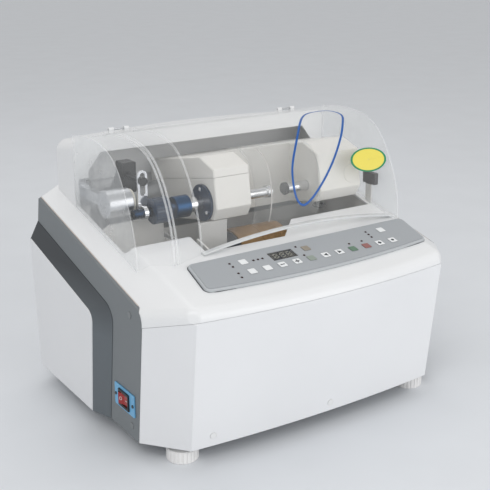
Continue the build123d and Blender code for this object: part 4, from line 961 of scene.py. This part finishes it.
@dataclass
class ControlPanel:
    """The keys, signs and display on the sloping deck.

    Places on the deck are millimetres across and behind the front feet.
    """

    deck_height: float = 239.0
    deck_slope: float = 0.239
    film_top: float = 4.6
    key_size: float = 11.5 * MM
    key_corner: float = 1.2 * MM
    key_top: float = 0.5 * MM
    tile_foot: float = 0.1 * MM
    tile_thickness: float = 0.25 * MM
    mark_thickness: float = 0.08 * MM
    mark_share: float = 0.3
    bar_share: float = 0.28
    arrow_share: float = 0.8
    dot_share: float = 1.4
    dot_steps: int = 20
    row_depth: float = -1.0
    row_start: float = -91.0
    row_pitch: float = 24.6
    upper_keys: tuple[Point, ...] = ((-90.0, 23.0), (15.5, 23.6), (157.6, 28.8))
    window: Point = (-26.5, 21.0)
    window_top: float = 4.35
    digit_height: float = 12.0 * MM
    digit_width: float = 6.0 * MM
    digit_bar: float = 1.08 * MM
    digit_gap: float = 1.4
    digit_round: float = 0.4
    digit_pitch: float = 11.0 * MM

    def place(self, x: float, depth: float) -> Matrix:
        """The frame of a spot on the film, with Z square to the deck.

        Args:
            x: Millimetres to the right.
            depth: Millimetres behind the front feet.

        Returns:
            The spot's frame.
        """
        tilt = math.atan(self.deck_slope)
        spot = at(x, depth, self.deck_height + self.deck_slope * depth)
        normal = Vector((0.0, -math.sin(tilt), math.cos(tilt)))
        return Matrix.Translation(spot + normal * self.film_top * MM) @ Matrix.Rotation(tilt, 4, "X")

    def keys(self) -> list[tuple[float, float, Finish, KeyMark]]:
        """Every key's place, finish and sign."""
        row = [
            (KEY_WHITE, KeyMark.BARE),
            (KEY_WHITE, KeyMark.BARE),
            (KEY_WHITE, KeyMark.MINUS),
            (KEY_WHITE, KeyMark.PLUS),
            (KEY_OLIVE, KeyMark.BARE),
            (KEY_WHITE, KeyMark.LEFT),
            (KEY_WHITE, KeyMark.RIGHT),
            (KEY_GREEN, KeyMark.BARE),
            (KEY_RED, KeyMark.BARE),
            (KEY_WHITE, KeyMark.DIAMOND),
            (KEY_WHITE, KeyMark.DOT),
        ]
        found = [
            (self.row_start + index * self.row_pitch, self.row_depth, finish, mark)
            for index, (finish, mark) in enumerate(row)
        ]
        for (x, depth), finish in zip(self.upper_keys, (KEY_WHITE, KEY_BROWN, KEY_WHITE)):
            found.append((x, depth, finish, KeyMark.BARE))
        return found

    def mark_outlines(self, mark: KeyMark) -> list[list[Point]]:
        """The outlines of a key's sign.

        Args:
            mark: The sign.

        Returns:
            Its outlines, in metres about the key's middle.
        """
        size = self.key_size * self.mark_share
        bar, tail = size * self.bar_share, size * self.arrow_share
        if mark is KeyMark.MINUS:
            return [[(-size, -bar), (size, -bar), (size, bar), (-size, bar)]]
        if mark is KeyMark.PLUS:
            return [[
                (-size, -bar), (-bar, -bar), (-bar, -size), (bar, -size), (bar, -bar), (size, -bar),
                (size, bar), (bar, bar), (bar, size), (-bar, size), (-bar, bar), (-size, bar),
            ]]
        if mark is KeyMark.LEFT:
            return [[(tail, -size), (tail, size), (-size, 0.0)]]
        if mark is KeyMark.RIGHT:
            return [[(-tail, -size), (size, 0.0), (-tail, size)]]
        if mark is KeyMark.DIAMOND:
            return [[(0.0, -size), (size, 0.0), (0.0, size), (-size, 0.0)]]
        if mark is KeyMark.DOT:
            return [circle(size * self.dot_share, self.dot_steps)]
        return []

    def build_keys(self) -> None:
        """Adds a tile of each colour over the keys, and their signs."""
        tiles: dict[Finish, Sketch] = {}
        signs = Sketch()
        outline = rounded(self.key_size, self.key_size, self.key_corner)
        top = self.key_top + self.tile_thickness
        for x, depth, finish, mark in self.keys():
            place = self.place(x, depth)
            tiles.setdefault(finish, Sketch()).prism(outline, place, self.tile_foot, top)
            for shape in self.mark_outlines(mark):
                signs.prism(shape, place, top - self.mark_thickness, top + self.mark_thickness)
        for finish, sketch in tiles.items():
            sketch.add(f"keys_{finish.name}", finish, Body.HOUSING)
        signs.add("key_signs", INK, Body.HOUSING)

    def build_digits(self) -> None:
        """Adds the three figures of the display."""
        sketch = Sketch()
        bar, gap, corner = self.digit_bar, self.digit_bar * self.digit_gap, self.digit_bar * self.digit_round
        upright = self.digit_height / 2 - bar
        across = rounded(self.digit_width - gap, bar, corner, 2)
        along = rounded(bar, upright - gap, corner, 2)
        strokes = [(across, 0.0, row * upright) for row in (-1, 0, 1)]
        strokes += [
            (along, side * self.digit_width / 2, row * upright / 2) for side in (-1, 1) for row in (-1, 1)
        ]
        sunk = (self.window_top - self.film_top) * MM
        for index in (-1, 0, 1):
            place = self.place(*self.window) @ Matrix.Translation((index * self.digit_pitch, 0.0, sunk))
            for shape, right, up in strokes:
                moved = [(x + right, y + up) for x, y in shape]
                sketch.prism(moved, place, 0.0, self.mark_thickness * 2)
        sketch.add("display_figures", SEGMENTS, Body.HOUSING)

    def build(self) -> None:
        """Builds the whole panel's details."""
        self.build_keys()
        self.build_digits()


@dataclass
class Surround:
    """Thin trim where the panel and the side walls meet the white shell."""

    panel: ControlPanel = field(default_factory=ControlPanel)
    corners: tuple[Point, ...] = ((-173.0, -19.0), (210.0, -14.0), (217.0, 51.0), (-165.0, 45.0))
    corner_radius: float = 9.0
    corner_steps: int = 8
    bow: float = 9.0
    bow_steps: int = 24
    bow_left_gap: float = 2.0
    bow_right_gap: float = 14.4
    seal_width: float = 1.1
    seal_height: float = 0.7 * MM
    band_x: float = 250.0
    band_face: float = 254.0
    band_front: float = 20.0
    band_rear: float = 326.0
    shoulder_drop: float = 24.6
    shoulder_width: float = 47.0
    bead_width: float = 0.55 * MM
    bead_height: float = 0.4 * MM
    bead_lean: float = 0.5

    def corner(self, before: Vector, corner: Vector, after: Vector, grow: float) -> list[Point]:
        """The arc that rounds a corner.

        Args:
            before: The corner before it.
            corner: The corner.
            after: The corner after it.
            grow: How many millimetres larger the outline is all round.

        Returns:
            The arc's points.
        """
        back, ahead = (before - corner).normalized(), (after - corner).normalized()
        half = back.angle(ahead) / 2.0
        centre = corner + (back + ahead).normalized() * (self.corner_radius / math.sin(half))
        side = back.orthogonal() * self.corner_radius
        start = min(centre - side, centre + side, key=lambda spot: (spot - corner).length)
        first = math.atan2(*(start - centre).yx)
        reach = self.corner_radius + grow
        points = []
        for step in range(self.corner_steps + 1):
            angle = first + (math.pi - 2.0 * half) * step / self.corner_steps
            points.append((centre.x + reach * math.cos(angle), centre.y + reach * math.sin(angle)))
        return points

    def outline(self, grow: float) -> list[Point]:
        """The panel's outline on the deck, with its bowed front edge.

        Args:
            grow: How many millimetres larger it is all round.

        Returns:
            The outline's points, in metres.
        """
        stretch = math.hypot(1.0, self.panel.deck_slope)
        corners = [Vector((x, depth * stretch)) for x, depth in self.corners]
        points: list[Point] = []
        for index, corner in enumerate(corners):
            points += self.corner(corners[index - 1], corner, corners[(index + 1) % len(corners)], grow)
            if index > 0:
                continue
            span = corners[1] - corner
            lowest, highest = points[-1][0] + self.bow_left_gap, corners[1].x - self.bow_right_gap
            for share in (step / self.bow_steps for step in range(1, self.bow_steps)):
                x, line = corner.x + span.x * share, corner.y + span.y * share
                if lowest <= x <= highest:
                    # A parabola that is 0 at the corners and the whole bow halfway
                    points.append((x, line - self.bow * 4.0 * share * (1.0 - share) - grow))
        return [(x * MM, y * MM) for x, y in points]

    def build_seal(self) -> None:
        """Adds the dark seal round the panel's foot."""
        sketch = Sketch()
        tilt = math.atan(self.panel.deck_slope)
        place = Matrix.Translation(at(0.0, 0.0, self.panel.deck_height)) @ Matrix.Rotation(tilt, 4, "X")
        outer, inner = self.outline(self.seal_width), self.outline(-self.seal_width)
        sketch.ring(outer, inner, place, 0.0, self.seal_height)
        sketch.add("panel_seal", SEAL_DARK, Body.HOUSING)

    def build_beads(self) -> None:
        """Adds the thin beige beads along the grey bands."""
        for side, name in ((-1, "left"), (1, "right")):
            sketch = Sketch()
            ends = []
            for depth in (self.band_front, self.band_rear):
                edge = self.panel.deck_height + self.panel.deck_slope * depth - self.shoulder_drop
                inward = (self.band_face - self.band_x) * self.shoulder_drop / self.shoulder_width
                ends.append(at(side * self.band_x, depth, edge + inward))
            across = Vector((self.bead_width, 0.0, -side * self.bead_width * self.bead_lean))
            sketch.beam(*ends, across, Vector((0.0, 0.0, self.bead_height)))
            sketch.add(f"band_bead_{name}", BEAD_BEIGE, Body.HOUSING)

    def build(self) -> None:
        """Builds the seal and the beads."""
        self.build_seal()
        self.build_beads()


@dataclass
class Stickers:
    """Plain stickers on the clear cover, laid onto its outer face.

    The points of the ring and the oval are millimetres across and degrees upward.
    """

    centre: Point = (180.0, 300.0)
    start_reach: float = 0.4
    missed_reach: float = 0.1
    lift: float = 0.25 * MM
    rim_lift: float = 0.275 * MM
    thickness: Point = (0.125 * MM, -0.075 * MM)
    ring_width: float = 3.4
    ring_steps: int = 6
    angle_scale: float = 1.9
    ring_points: tuple[Point, ...] = (
        (44.5, -2.7), (34.0, 6.1), (39.7, 27.8), (63.5, 50.8), (106.0, 80.0), (136.5, 94.0), (168.0, 97.0),
        (184.0, 92.0), (186.0, 77.9), (164.0, 60.0), (142.4, 44.6), (114.1, 25.7), (89.2, 11.8), (63.4, 0.6),
    )
    oval: tuple[float, float, float, float] = (183.0, 25.2, 34.5, 10.8)
    oval_start: float = 0.02
    rim_share: float = 0.89
    oval_steps: int = 48
    oval_rings: int = 6

    def __post_init__(self) -> None:
        """Prepares the cover's faces for laying points on them."""
        self.faces = faces_of("clear_cover")

    def on_cover(self, x: float, angle: float, lift: float) -> Vector:
        """The point of the cover's outer face at a width and an angle.

        Args:
            x: Millimetres to the right.
            angle: Degrees upward from straight ahead, about a line inside the cover.
            lift: Metres that the point stands off the face.

        Returns:
            The point.
        """
        way = Vector((0.0, -math.cos(math.radians(angle)), math.sin(math.radians(angle))))
        origin = at(x, *self.centre)
        hit, normal, _, _ = self.faces.ray_cast(origin + way * self.start_reach, -way)
        return (hit if hit else origin + way * self.missed_reach) + (normal if normal else way) * lift

    def add_film(self, name: str, rows: Sequence[Sequence[Vector]], finish: Finish) -> None:
        """Adds one thin film on the cover.

        Args:
            name: The piece's name.
            rows: The grid of points that it lies on.
            finish: Its finish.
        """
        sketch = Sketch()
        sketch.sheet(rows, [Vector((0.0, *self.thickness))] * len(rows))
        sketch.add(name, finish, Body.COVER)

    def build_ring(self) -> None:
        """Adds the thin blue oval ring."""
        stretch = self.angle_scale
        line = smooth_line(self.ring_points, self.ring_steps, closed=True)
        path = [Vector((x, angle * stretch)) for x, angle in line]
        count = len(path)
        rows = []
        for index in range(count + 1):
            along = (path[(index + 1) % count] - path[(index - 1) % count]).normalized()
            outer = path[index % count]
            inner = outer + Vector((along.y, -along.x)) * self.ring_width
            rows.append([self.on_cover(spot.x, spot.y / stretch, self.lift) for spot in (outer, inner)])
        self.add_film("sticker_ring", rows, STICKER_BLUE)

    def oval_rows(self, low: float, high: float, lift: float) -> list[list[Vector]]:
        """The points of the oval between two shares of its size.

        Args:
            low: The inner share.
            high: The outer share.
            lift: Metres that the points stand off the face.

        Returns:
            The points, a row for each direction.
        """
        x, angle, half_width, half_angle = self.oval
        shares = [low + (high - low) * part / self.oval_rings for part in range(self.oval_rings + 1)]
        rows = []
        for step in range(self.oval_steps + 1):
            turn = math.tau * (step % self.oval_steps) / self.oval_steps
            right, up = half_width * math.cos(turn), half_angle * math.sin(turn)
            rows.append([self.on_cover(x + right * share, angle + up * share, lift) for share in shares])
        return rows

    def build(self) -> None:
        """Builds the blue ring, the yellow oval and its green rim."""
        self.build_ring()
        oval = self.oval_rows(self.oval_start, self.rim_share, self.lift)
        rim = self.oval_rows(self.rim_share, 1.0, self.rim_lift)
        self.add_film("sticker_oval", oval, STICKER_YELLOW)
        self.add_film("sticker_rim", rim, STICKER_GREEN)


@dataclass
class LensGuard:
    """The clear curved guard between the head and the arm, drawn as (depth, height)."""

    left: float = -11.0
    right: float = 108.0
    thickness: float = 1.2 * MM
    profile: tuple[Point, ...] = (
        (192.0, 362.5), (176.0, 368.0), (160.0, 370.0), (144.0, 366.0), (130.0, 357.0), (119.0, 342.0),
        (112.5, 322.0), (110.0, 300.0), (112.0, 280.0), (117.0, 263.0),
    )
    curve_steps: int = 4
    parts: int = 8
    # The left rim is a painted highlight: a thin white strip laid on the guard's face where its edge catches
    # the light.
    rim_highlight_left: float = 18.0
    rim_highlight_width: float = 2.2
    rim_share: float = 0.15

    def grid(self, left: float, right: float) -> tuple[list[list[Vector]], list[Vector]]:
        """A strip of points along the profile.

        Args:
            left: Its left side, in millimetres to the right of the middle.
            right: Its right side.

        Returns:
            The rows of points, and for each row the way through the guard.
        """
        edge = smooth_line(self.profile, self.curve_steps)
        rows, ways = [], []
        for index, (depth, height) in enumerate(edge):
            before, after = edge[max(index - 1, 0)], edge[min(index + 1, len(edge) - 1)]
            along = Vector((0.0, after[0] - before[0], after[1] - before[1])).normalized()
            ways.append(Vector((0.0, -along.z, along.y)) * self.thickness)
            widths = [left + (right - left) * part / self.parts for part in range(self.parts + 1)]
            rows.append([at(x, depth, height) for x in widths])
        return rows, ways

    def build(self) -> None:
        """Builds the sheet and, on its face, a thin white strip that is a painted highlight of its left rim.
        """
        guard, rim = Sketch(), Sketch()
        guard.sheet(*self.grid(self.left, self.right))
        guard.add("lens_guard", GUARD, Body.CARRIAGE, smooth=True)
        # Painted highlight: a white strip along the guard's left rim.
        rows, ways = self.grid(self.rim_highlight_left, self.rim_highlight_left + self.rim_highlight_width)
        raised = [[spot + way for spot in row] for row, way in zip(rows, ways)]
        rim.sheet(raised, [way * self.rim_share for way in ways])
        rim.add("lens_guard_rim", MARK_WHITE, Body.CARRIAGE)


class RockerSign(Enum):
    """The signs on the rocker, with the half that each is on: 1 at the rear, -1 at the front."""

    RING = 1
    BAR = -1


@dataclass
class MainsSwitch:
    """The signs on the rocker."""

    start_x: float = -300.0
    depth: float = 59.5
    height: float = 75.0
    spread: float = 6.2
    sign_size: float = 2.6 * MM
    ring_shares: Point = (1.9, 1.3)
    ring_steps: int = 32
    bar_share: float = 0.16
    sunk: float = -0.05 * MM
    proud: float = 0.12 * MM

    def build(self) -> None:
        """Adds a ring on the rocker's rear half and a bar on its front half."""
        faces = faces_of("rocker")
        sketch = Sketch()
        size, half = self.sign_size, self.sign_size * self.bar_share
        for sign in RockerSign:
            spot = at(self.start_x, self.depth + sign.value * self.spread, self.height)
            hit, normal, _, _ = faces.ray_cast(spot, Vector((1.0, 0.0, 0.0)))
            place = facing(hit, normal)
            if sign is RockerSign.RING:
                outer, inner = [circle(size * share, self.ring_steps) for share in self.ring_shares]
                sketch.ring(outer, inner, place, self.sunk, self.proud)
            else:
                bar = [(-size, -half), (size, -half), (size, half), (-size, half)]
                sketch.prism(bar, place, self.sunk, self.proud)
        sketch.add("rocker_signs", MARK_WHITE, Body.SWITCH)


class Copier:
    """Copies one template onto given places with Geometry Nodes."""

    TURN = "turn"

    def __init__(self) -> None:
        """Builds the node tree that every set of copies shares."""
        self.tree = bpy.data.node_groups.new("copies_on_places", "GeometryNodeTree")
        sockets = self.tree.interface
        sockets.new_socket(name="Places", in_out="INPUT", socket_type="NodeSocketGeometry")
        self.template = sockets.new_socket(name="Template", in_out="INPUT", socket_type="NodeSocketObject")
        self.finish = sockets.new_socket(name="Finish", in_out="INPUT", socket_type="NodeSocketMaterial")
        sockets.new_socket(name="Copies", in_out="OUTPUT", socket_type="NodeSocketGeometry")
        nodes, links = self.tree.nodes, self.tree.links
        entry, leave = nodes.new("NodeGroupInput"), nodes.new("NodeGroupOutput")
        shape = nodes.new("GeometryNodeObjectInfo")
        shape.transform_space = "ORIGINAL"
        turn = nodes.new("GeometryNodeInputNamedAttribute")
        turn.data_type = "FLOAT_VECTOR"
        turn.inputs["Name"].default_value = self.TURN
        copies = nodes.new("GeometryNodeInstanceOnPoints")
        solid = nodes.new("GeometryNodeRealizeInstances")
        coated = nodes.new("GeometryNodeSetMaterial")
        links.new(entry.outputs["Places"], copies.inputs["Points"])
        links.new(entry.outputs["Template"], shape.inputs["Object"])
        links.new(shape.outputs["Geometry"], copies.inputs["Instance"])
        links.new(turn.outputs[0], copies.inputs["Rotation"])
        links.new(copies.outputs[0], solid.inputs[0])
        links.new(solid.outputs[0], coated.inputs["Geometry"])
        links.new(entry.outputs["Finish"], coated.inputs["Material"])
        links.new(coated.outputs[0], leave.inputs[0])

    def add(
        self, name: str, template: bpy.types.Mesh, places: Sequence[Matrix], finish: Finish, body: Body
    ) -> None:
        """Adds one piece made of copies.

        Args:
            name: The piece's name.
            template: The mesh to copy.
            places: The copies' frames.
            finish: Their finish.
            body: The body that they ride on.
        """
        spots = bpy.data.meshes.new(f"{name}_places")
        spots.from_pydata([tuple(place.translation) for place in places], [], [])
        turns = spots.attributes.new(self.TURN, "FLOAT_VECTOR", "POINT")
        for item, place in zip(turns.data, places):
            item.vector = place.to_euler()
        source = bpy.data.objects.new(f"{name}_template", template)
        host = bpy.data.objects.new(f"{name}_host", spots)
        bpy.context.scene.collection.objects.link(host)
        modifier = host.modifiers.new("copies", "NODES")
        modifier.node_group = self.tree
        modifier[self.template.identifier] = source
        modifier[self.finish.identifier] = finish.material()
        host.update_tag()
        depsgraph = bpy.context.evaluated_depsgraph_get()
        mesh = bpy.data.meshes.new_from_object(host.evaluated_get(depsgraph))
        bpy.data.objects.remove(host)
        bpy.data.objects.remove(source)
        mesh.name = name
        add_piece(name, mesh, finish, body)


@dataclass
class Fasteners:
    """Screws, seals and louvres, copied onto their places."""

    copier: Copier = field(default_factory=Copier)
    screw_radius: float = 3.0 * MM
    screw_height: float = 1.3 * MM
    screw_profile: tuple[Point, ...] = (
        (0.0, 0.0), (1.0, 0.0), (1.0, 0.45), (0.86, 0.85), (0.6, 1.0), (0.36, 1.0), (0.288, 0.4), (0.0, 0.4),
    )
    screw_sides: int = 24
    rear_places: tuple[Point, ...] = (
        (-238.0, 44.0), (-238.0, 130.0), (-238.0, 214.0), (238.0, 44.0), (238.0, 130.0), (238.0, 214.0),
        (-80.0, 40.0), (80.0, 40.0), (-80.0, 222.0), (80.0, 222.0),
    )
    base_places: tuple[Point, ...] = (
        (-150.0, 30.0), (0.0, 30.0), (150.0, 30.0), (-150.0, 270.0), (150.0, 270.0),
    )
    cap_places: tuple[Point, ...] = ((38.0, 204.0), (43.0, 43.0))
    seal_outer: float = 5.2 * MM
    seal_inner: float = 4.5 * MM
    seal_height: float = 0.21 * MM
    seal_sides: int = 40
    band_face: float = 254.0
    flange_face: float = -79.8
    flange_reach: float = 20.5
    flange_angles: tuple[float, ...] = (90.0, 210.0, 330.0)
    lens_axis: Point = (150.0, 300.0)
    rear_low: float = 327.6
    rear_high: float = 341.0
    low_height: float = 25.0
    high_height: float = 230.0
    vent_x: float = 120.0
    vent_low: float = 72.0
    vent_pitch: float = 10.0
    vent_count: int = 9
    blade_half: float = 51.4 * MM
    blade_drop: float = -2.2 * MM
    blade_side: Point = (0.5 * MM, 0.6 * MM)
    blade_rise: Point = (2.6 * MM, 2.2 * MM)

    def rear_frame(self, x: float, height: float) -> Matrix:
        """The frame of a spot on the rear wall.

        Args:
            x: Millimetres to the right of the middle.
            height: Millimetres above the floor.

        Returns:
            The frame, with Z out of the wall.
        """
        lean = (self.rear_high - self.rear_low) / (self.high_height - self.low_height)
        spot = at(x, self.rear_low + lean * (height - self.low_height), height)
        return facing(spot, Vector((0.0, 1.0, -lean)).normalized())

    def screw(self) -> bpy.types.Mesh:
        """A pan-head screw with a recess."""
        sketch = Sketch()
        radius, height = self.screw_radius, self.screw_height
        profile = [(out * radius, up * height) for out, up in self.screw_profile]
        sketch.lathe(profile, self.screw_sides)
        return sketch.mesh("screw")

    def cap_seal(self) -> bpy.types.Mesh:
        """A thin dark ring under a screw cap."""
        sketch = Sketch()
        outer, inner = [circle(width, self.seal_sides) for width in (self.seal_outer, self.seal_inner)]
        sketch.ring(outer, inner, Matrix.Identity(4), 0.0, self.seal_height)
        return sketch.mesh("cap_seal")

    def louvre(self) -> bpy.types.Mesh:
        """A slanted blade that shades one slot."""
        sketch = Sketch()
        start, end = [Vector((side * self.blade_half, self.blade_drop, 0.0)) for side in (-1.0, 1.0)]
        sketch.beam(start, end, Vector((0.0, *self.blade_side)), Vector((0.0, *self.blade_rise)))
        return sketch.mesh("louvre")

    def flange_frames(self) -> list[Matrix]:
        """The frames of the screws in the head's flange."""
        frames = []
        for angle in self.flange_angles:
            depth = self.lens_axis[0] + self.flange_reach * math.cos(math.radians(angle))
            height = self.lens_axis[1] + self.flange_reach * math.sin(math.radians(angle))
            frames.append(facing(at(self.flange_face, depth, height), Vector((-1.0, 0.0, 0.0))))
        return frames

    def build(self) -> None:
        """Builds every set of copies."""
        rear = [self.rear_frame(x, height) for x, height in self.rear_places]
        flip = Matrix.Rotation(math.pi, 4, "X")
        base = [Matrix.Translation(at(x, depth, self.low_height)) @ flip for x, depth in self.base_places]
        caps = [
            facing(at(side * self.band_face, *place), Vector((side, 0.0, 0.0)))
            for side in (-1.0, 1.0)
            for place in self.cap_places
        ]
        slots = [
            self.rear_frame(self.vent_x, self.vent_low + index * self.vent_pitch)
            for index in range(self.vent_count)
        ]
        self.copier.add("rear_screws", self.screw(), rear, STEEL, Body.HOUSING)
        self.copier.add("base_screws", self.screw(), base, STEEL, Body.HOUSING)
        self.copier.add("cap_seals", self.cap_seal(), caps, SEAL_DARK, Body.HOUSING)
        self.copier.add("flange_screws", self.screw(), self.flange_frames(), CHROME, Body.CARRIAGE)
        self.copier.add("vent_louvres", self.louvre(), slots, WHITE_PAINT, Body.HOUSING)


@dataclass(frozen=True)
class StudioLight:
    """One soft square lamp: its name, its place and side in metres, and its power in watts."""

    name: str
    place: tuple[float, float, float]
    side: float
    power: float

    def build(self, target: Vector) -> None:
        """Hangs the lamp.

        Args:
            target: What it points at.
        """
        data = bpy.data.lights.new(self.name, "AREA")
        data.shape = "SQUARE"
        data.size = self.side
        data.energy = self.power
        lamp = bpy.data.objects.new(self.name, data)
        lamp.location = self.place
        lamp.rotation_euler = (target - Vector(self.place)).to_track_quat("-Z", "Y").to_euler()
        bpy.context.scene.collection.objects.link(lamp)


@dataclass
class Studio:
    """The floor, lights and camera."""

    camera_place: tuple[float, float, float] = (-767.7, -1006.6, 676.0)
    camera_view: tuple[float, float, float] = (0.5246, 0.7926, -0.3107)
    focal_pixels: float = 970.0
    picture_width: float = 490.0
    sensor_width: float = 36.0
    view_reach: float = 100.0
    floor_half: float = 40.0
    aim: tuple[float, float, float] = (0.0, 0.0, 0.2)
    sky_strength: float = 0.62
    lights: tuple[StudioLight, ...] = (
        StudioLight("key_light", (-1.6, -1.5, 2.2), 1.6, 17.0),
        StudioLight("fill_light", (0.9, -2.4, 0.9), 1.8, 18.0),
        StudioLight("top_light", (0.1, 0.9, 2.2), 1.6, 6.5),
    )

    def build_floor(self) -> None:
        """Adds a plain pale floor."""
        reach = self.floor_half
        mesh = bpy.data.meshes.new(FLOOR.name)
        corners = [(-reach, -reach, 0.0), (reach, -reach, 0.0), (reach, reach, 0.0), (-reach, reach, 0.0)]
        mesh.from_pydata(corners, [], [(0, 1, 2, 3)])
        floor = bpy.data.objects.new(FLOOR.name, mesh)
        bpy.context.scene.collection.objects.link(floor)
        mesh.materials.append(FLOOR.material())

    def build_sky(self) -> None:
        """Sets a neutral soft sky, seen as a pale wall by the camera."""
        world = bpy.data.worlds.new("studio")
        world.use_nodes = True
        bpy.context.scene.world = world
        nodes, links = world.node_tree.nodes, world.node_tree.links
        nodes.clear()
        path = nodes.new("ShaderNodeLightPath")
        seen = nodes.new("ShaderNodeBackground")
        seen.inputs[0].default_value = (*WALL_COLOUR, 1.0)
        soft = nodes.new("ShaderNodeBackground")
        soft.inputs[0].default_value = (1.0, 1.0, 1.0, 1.0)
        soft.inputs[1].default_value = self.sky_strength
        joined = nodes.new("ShaderNodeMixShader")
        leave = nodes.new("ShaderNodeOutputWorld")
        links.new(path.outputs["Is Camera Ray"], joined.inputs[0])
        links.new(soft.outputs[0], joined.inputs[1])
        links.new(seen.outputs[0], joined.inputs[2])
        links.new(joined.outputs[0], leave.inputs["Surface"])

    def build_camera(self) -> None:
        """Sets the camera at the photograph's viewing angle."""
        data = bpy.data.cameras.new("camera")
        data.sensor_width = self.sensor_width
        data.lens = self.focal_pixels / self.picture_width * self.sensor_width
        data.clip_end = self.view_reach
        camera = bpy.data.objects.new("camera", data)
        camera.location = at(*self.camera_place)
        camera.rotation_euler = Vector(self.camera_view).to_track_quat("-Z", "Y").to_euler()
        bpy.context.scene.collection.objects.link(camera)
        bpy.context.scene.camera = camera

    def build(self) -> None:
        """Builds the floor, the lights, the world and the camera."""
        self.build_floor()
        for light in self.lights:
            light.build(Vector(self.aim))
        self.build_sky()
        self.build_camera()
        bpy.context.scene.view_settings.view_transform = "Standard"


def dress_nodes() -> None:
    """Gives every CAD node its finish."""
    for name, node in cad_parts.items():
        finish = NODE_FINISHES[name]
        node.data.materials.clear()
        node.data.materials.append(finish.material())
        LOG.info("%s: %s", name, finish.name)


def main() -> None:
    """Builds the scene, one assembly after another."""
    logging.basicConfig(level=logging.INFO)
    dress_nodes()
    for assembly in (ControlPanel, Surround, MainsSwitch, Stickers, LensGuard, Fasteners, Studio):
        LOG.info("building %s", assembly.__name__)
        assembly().build()


if __name__ == "__main__":
    main()
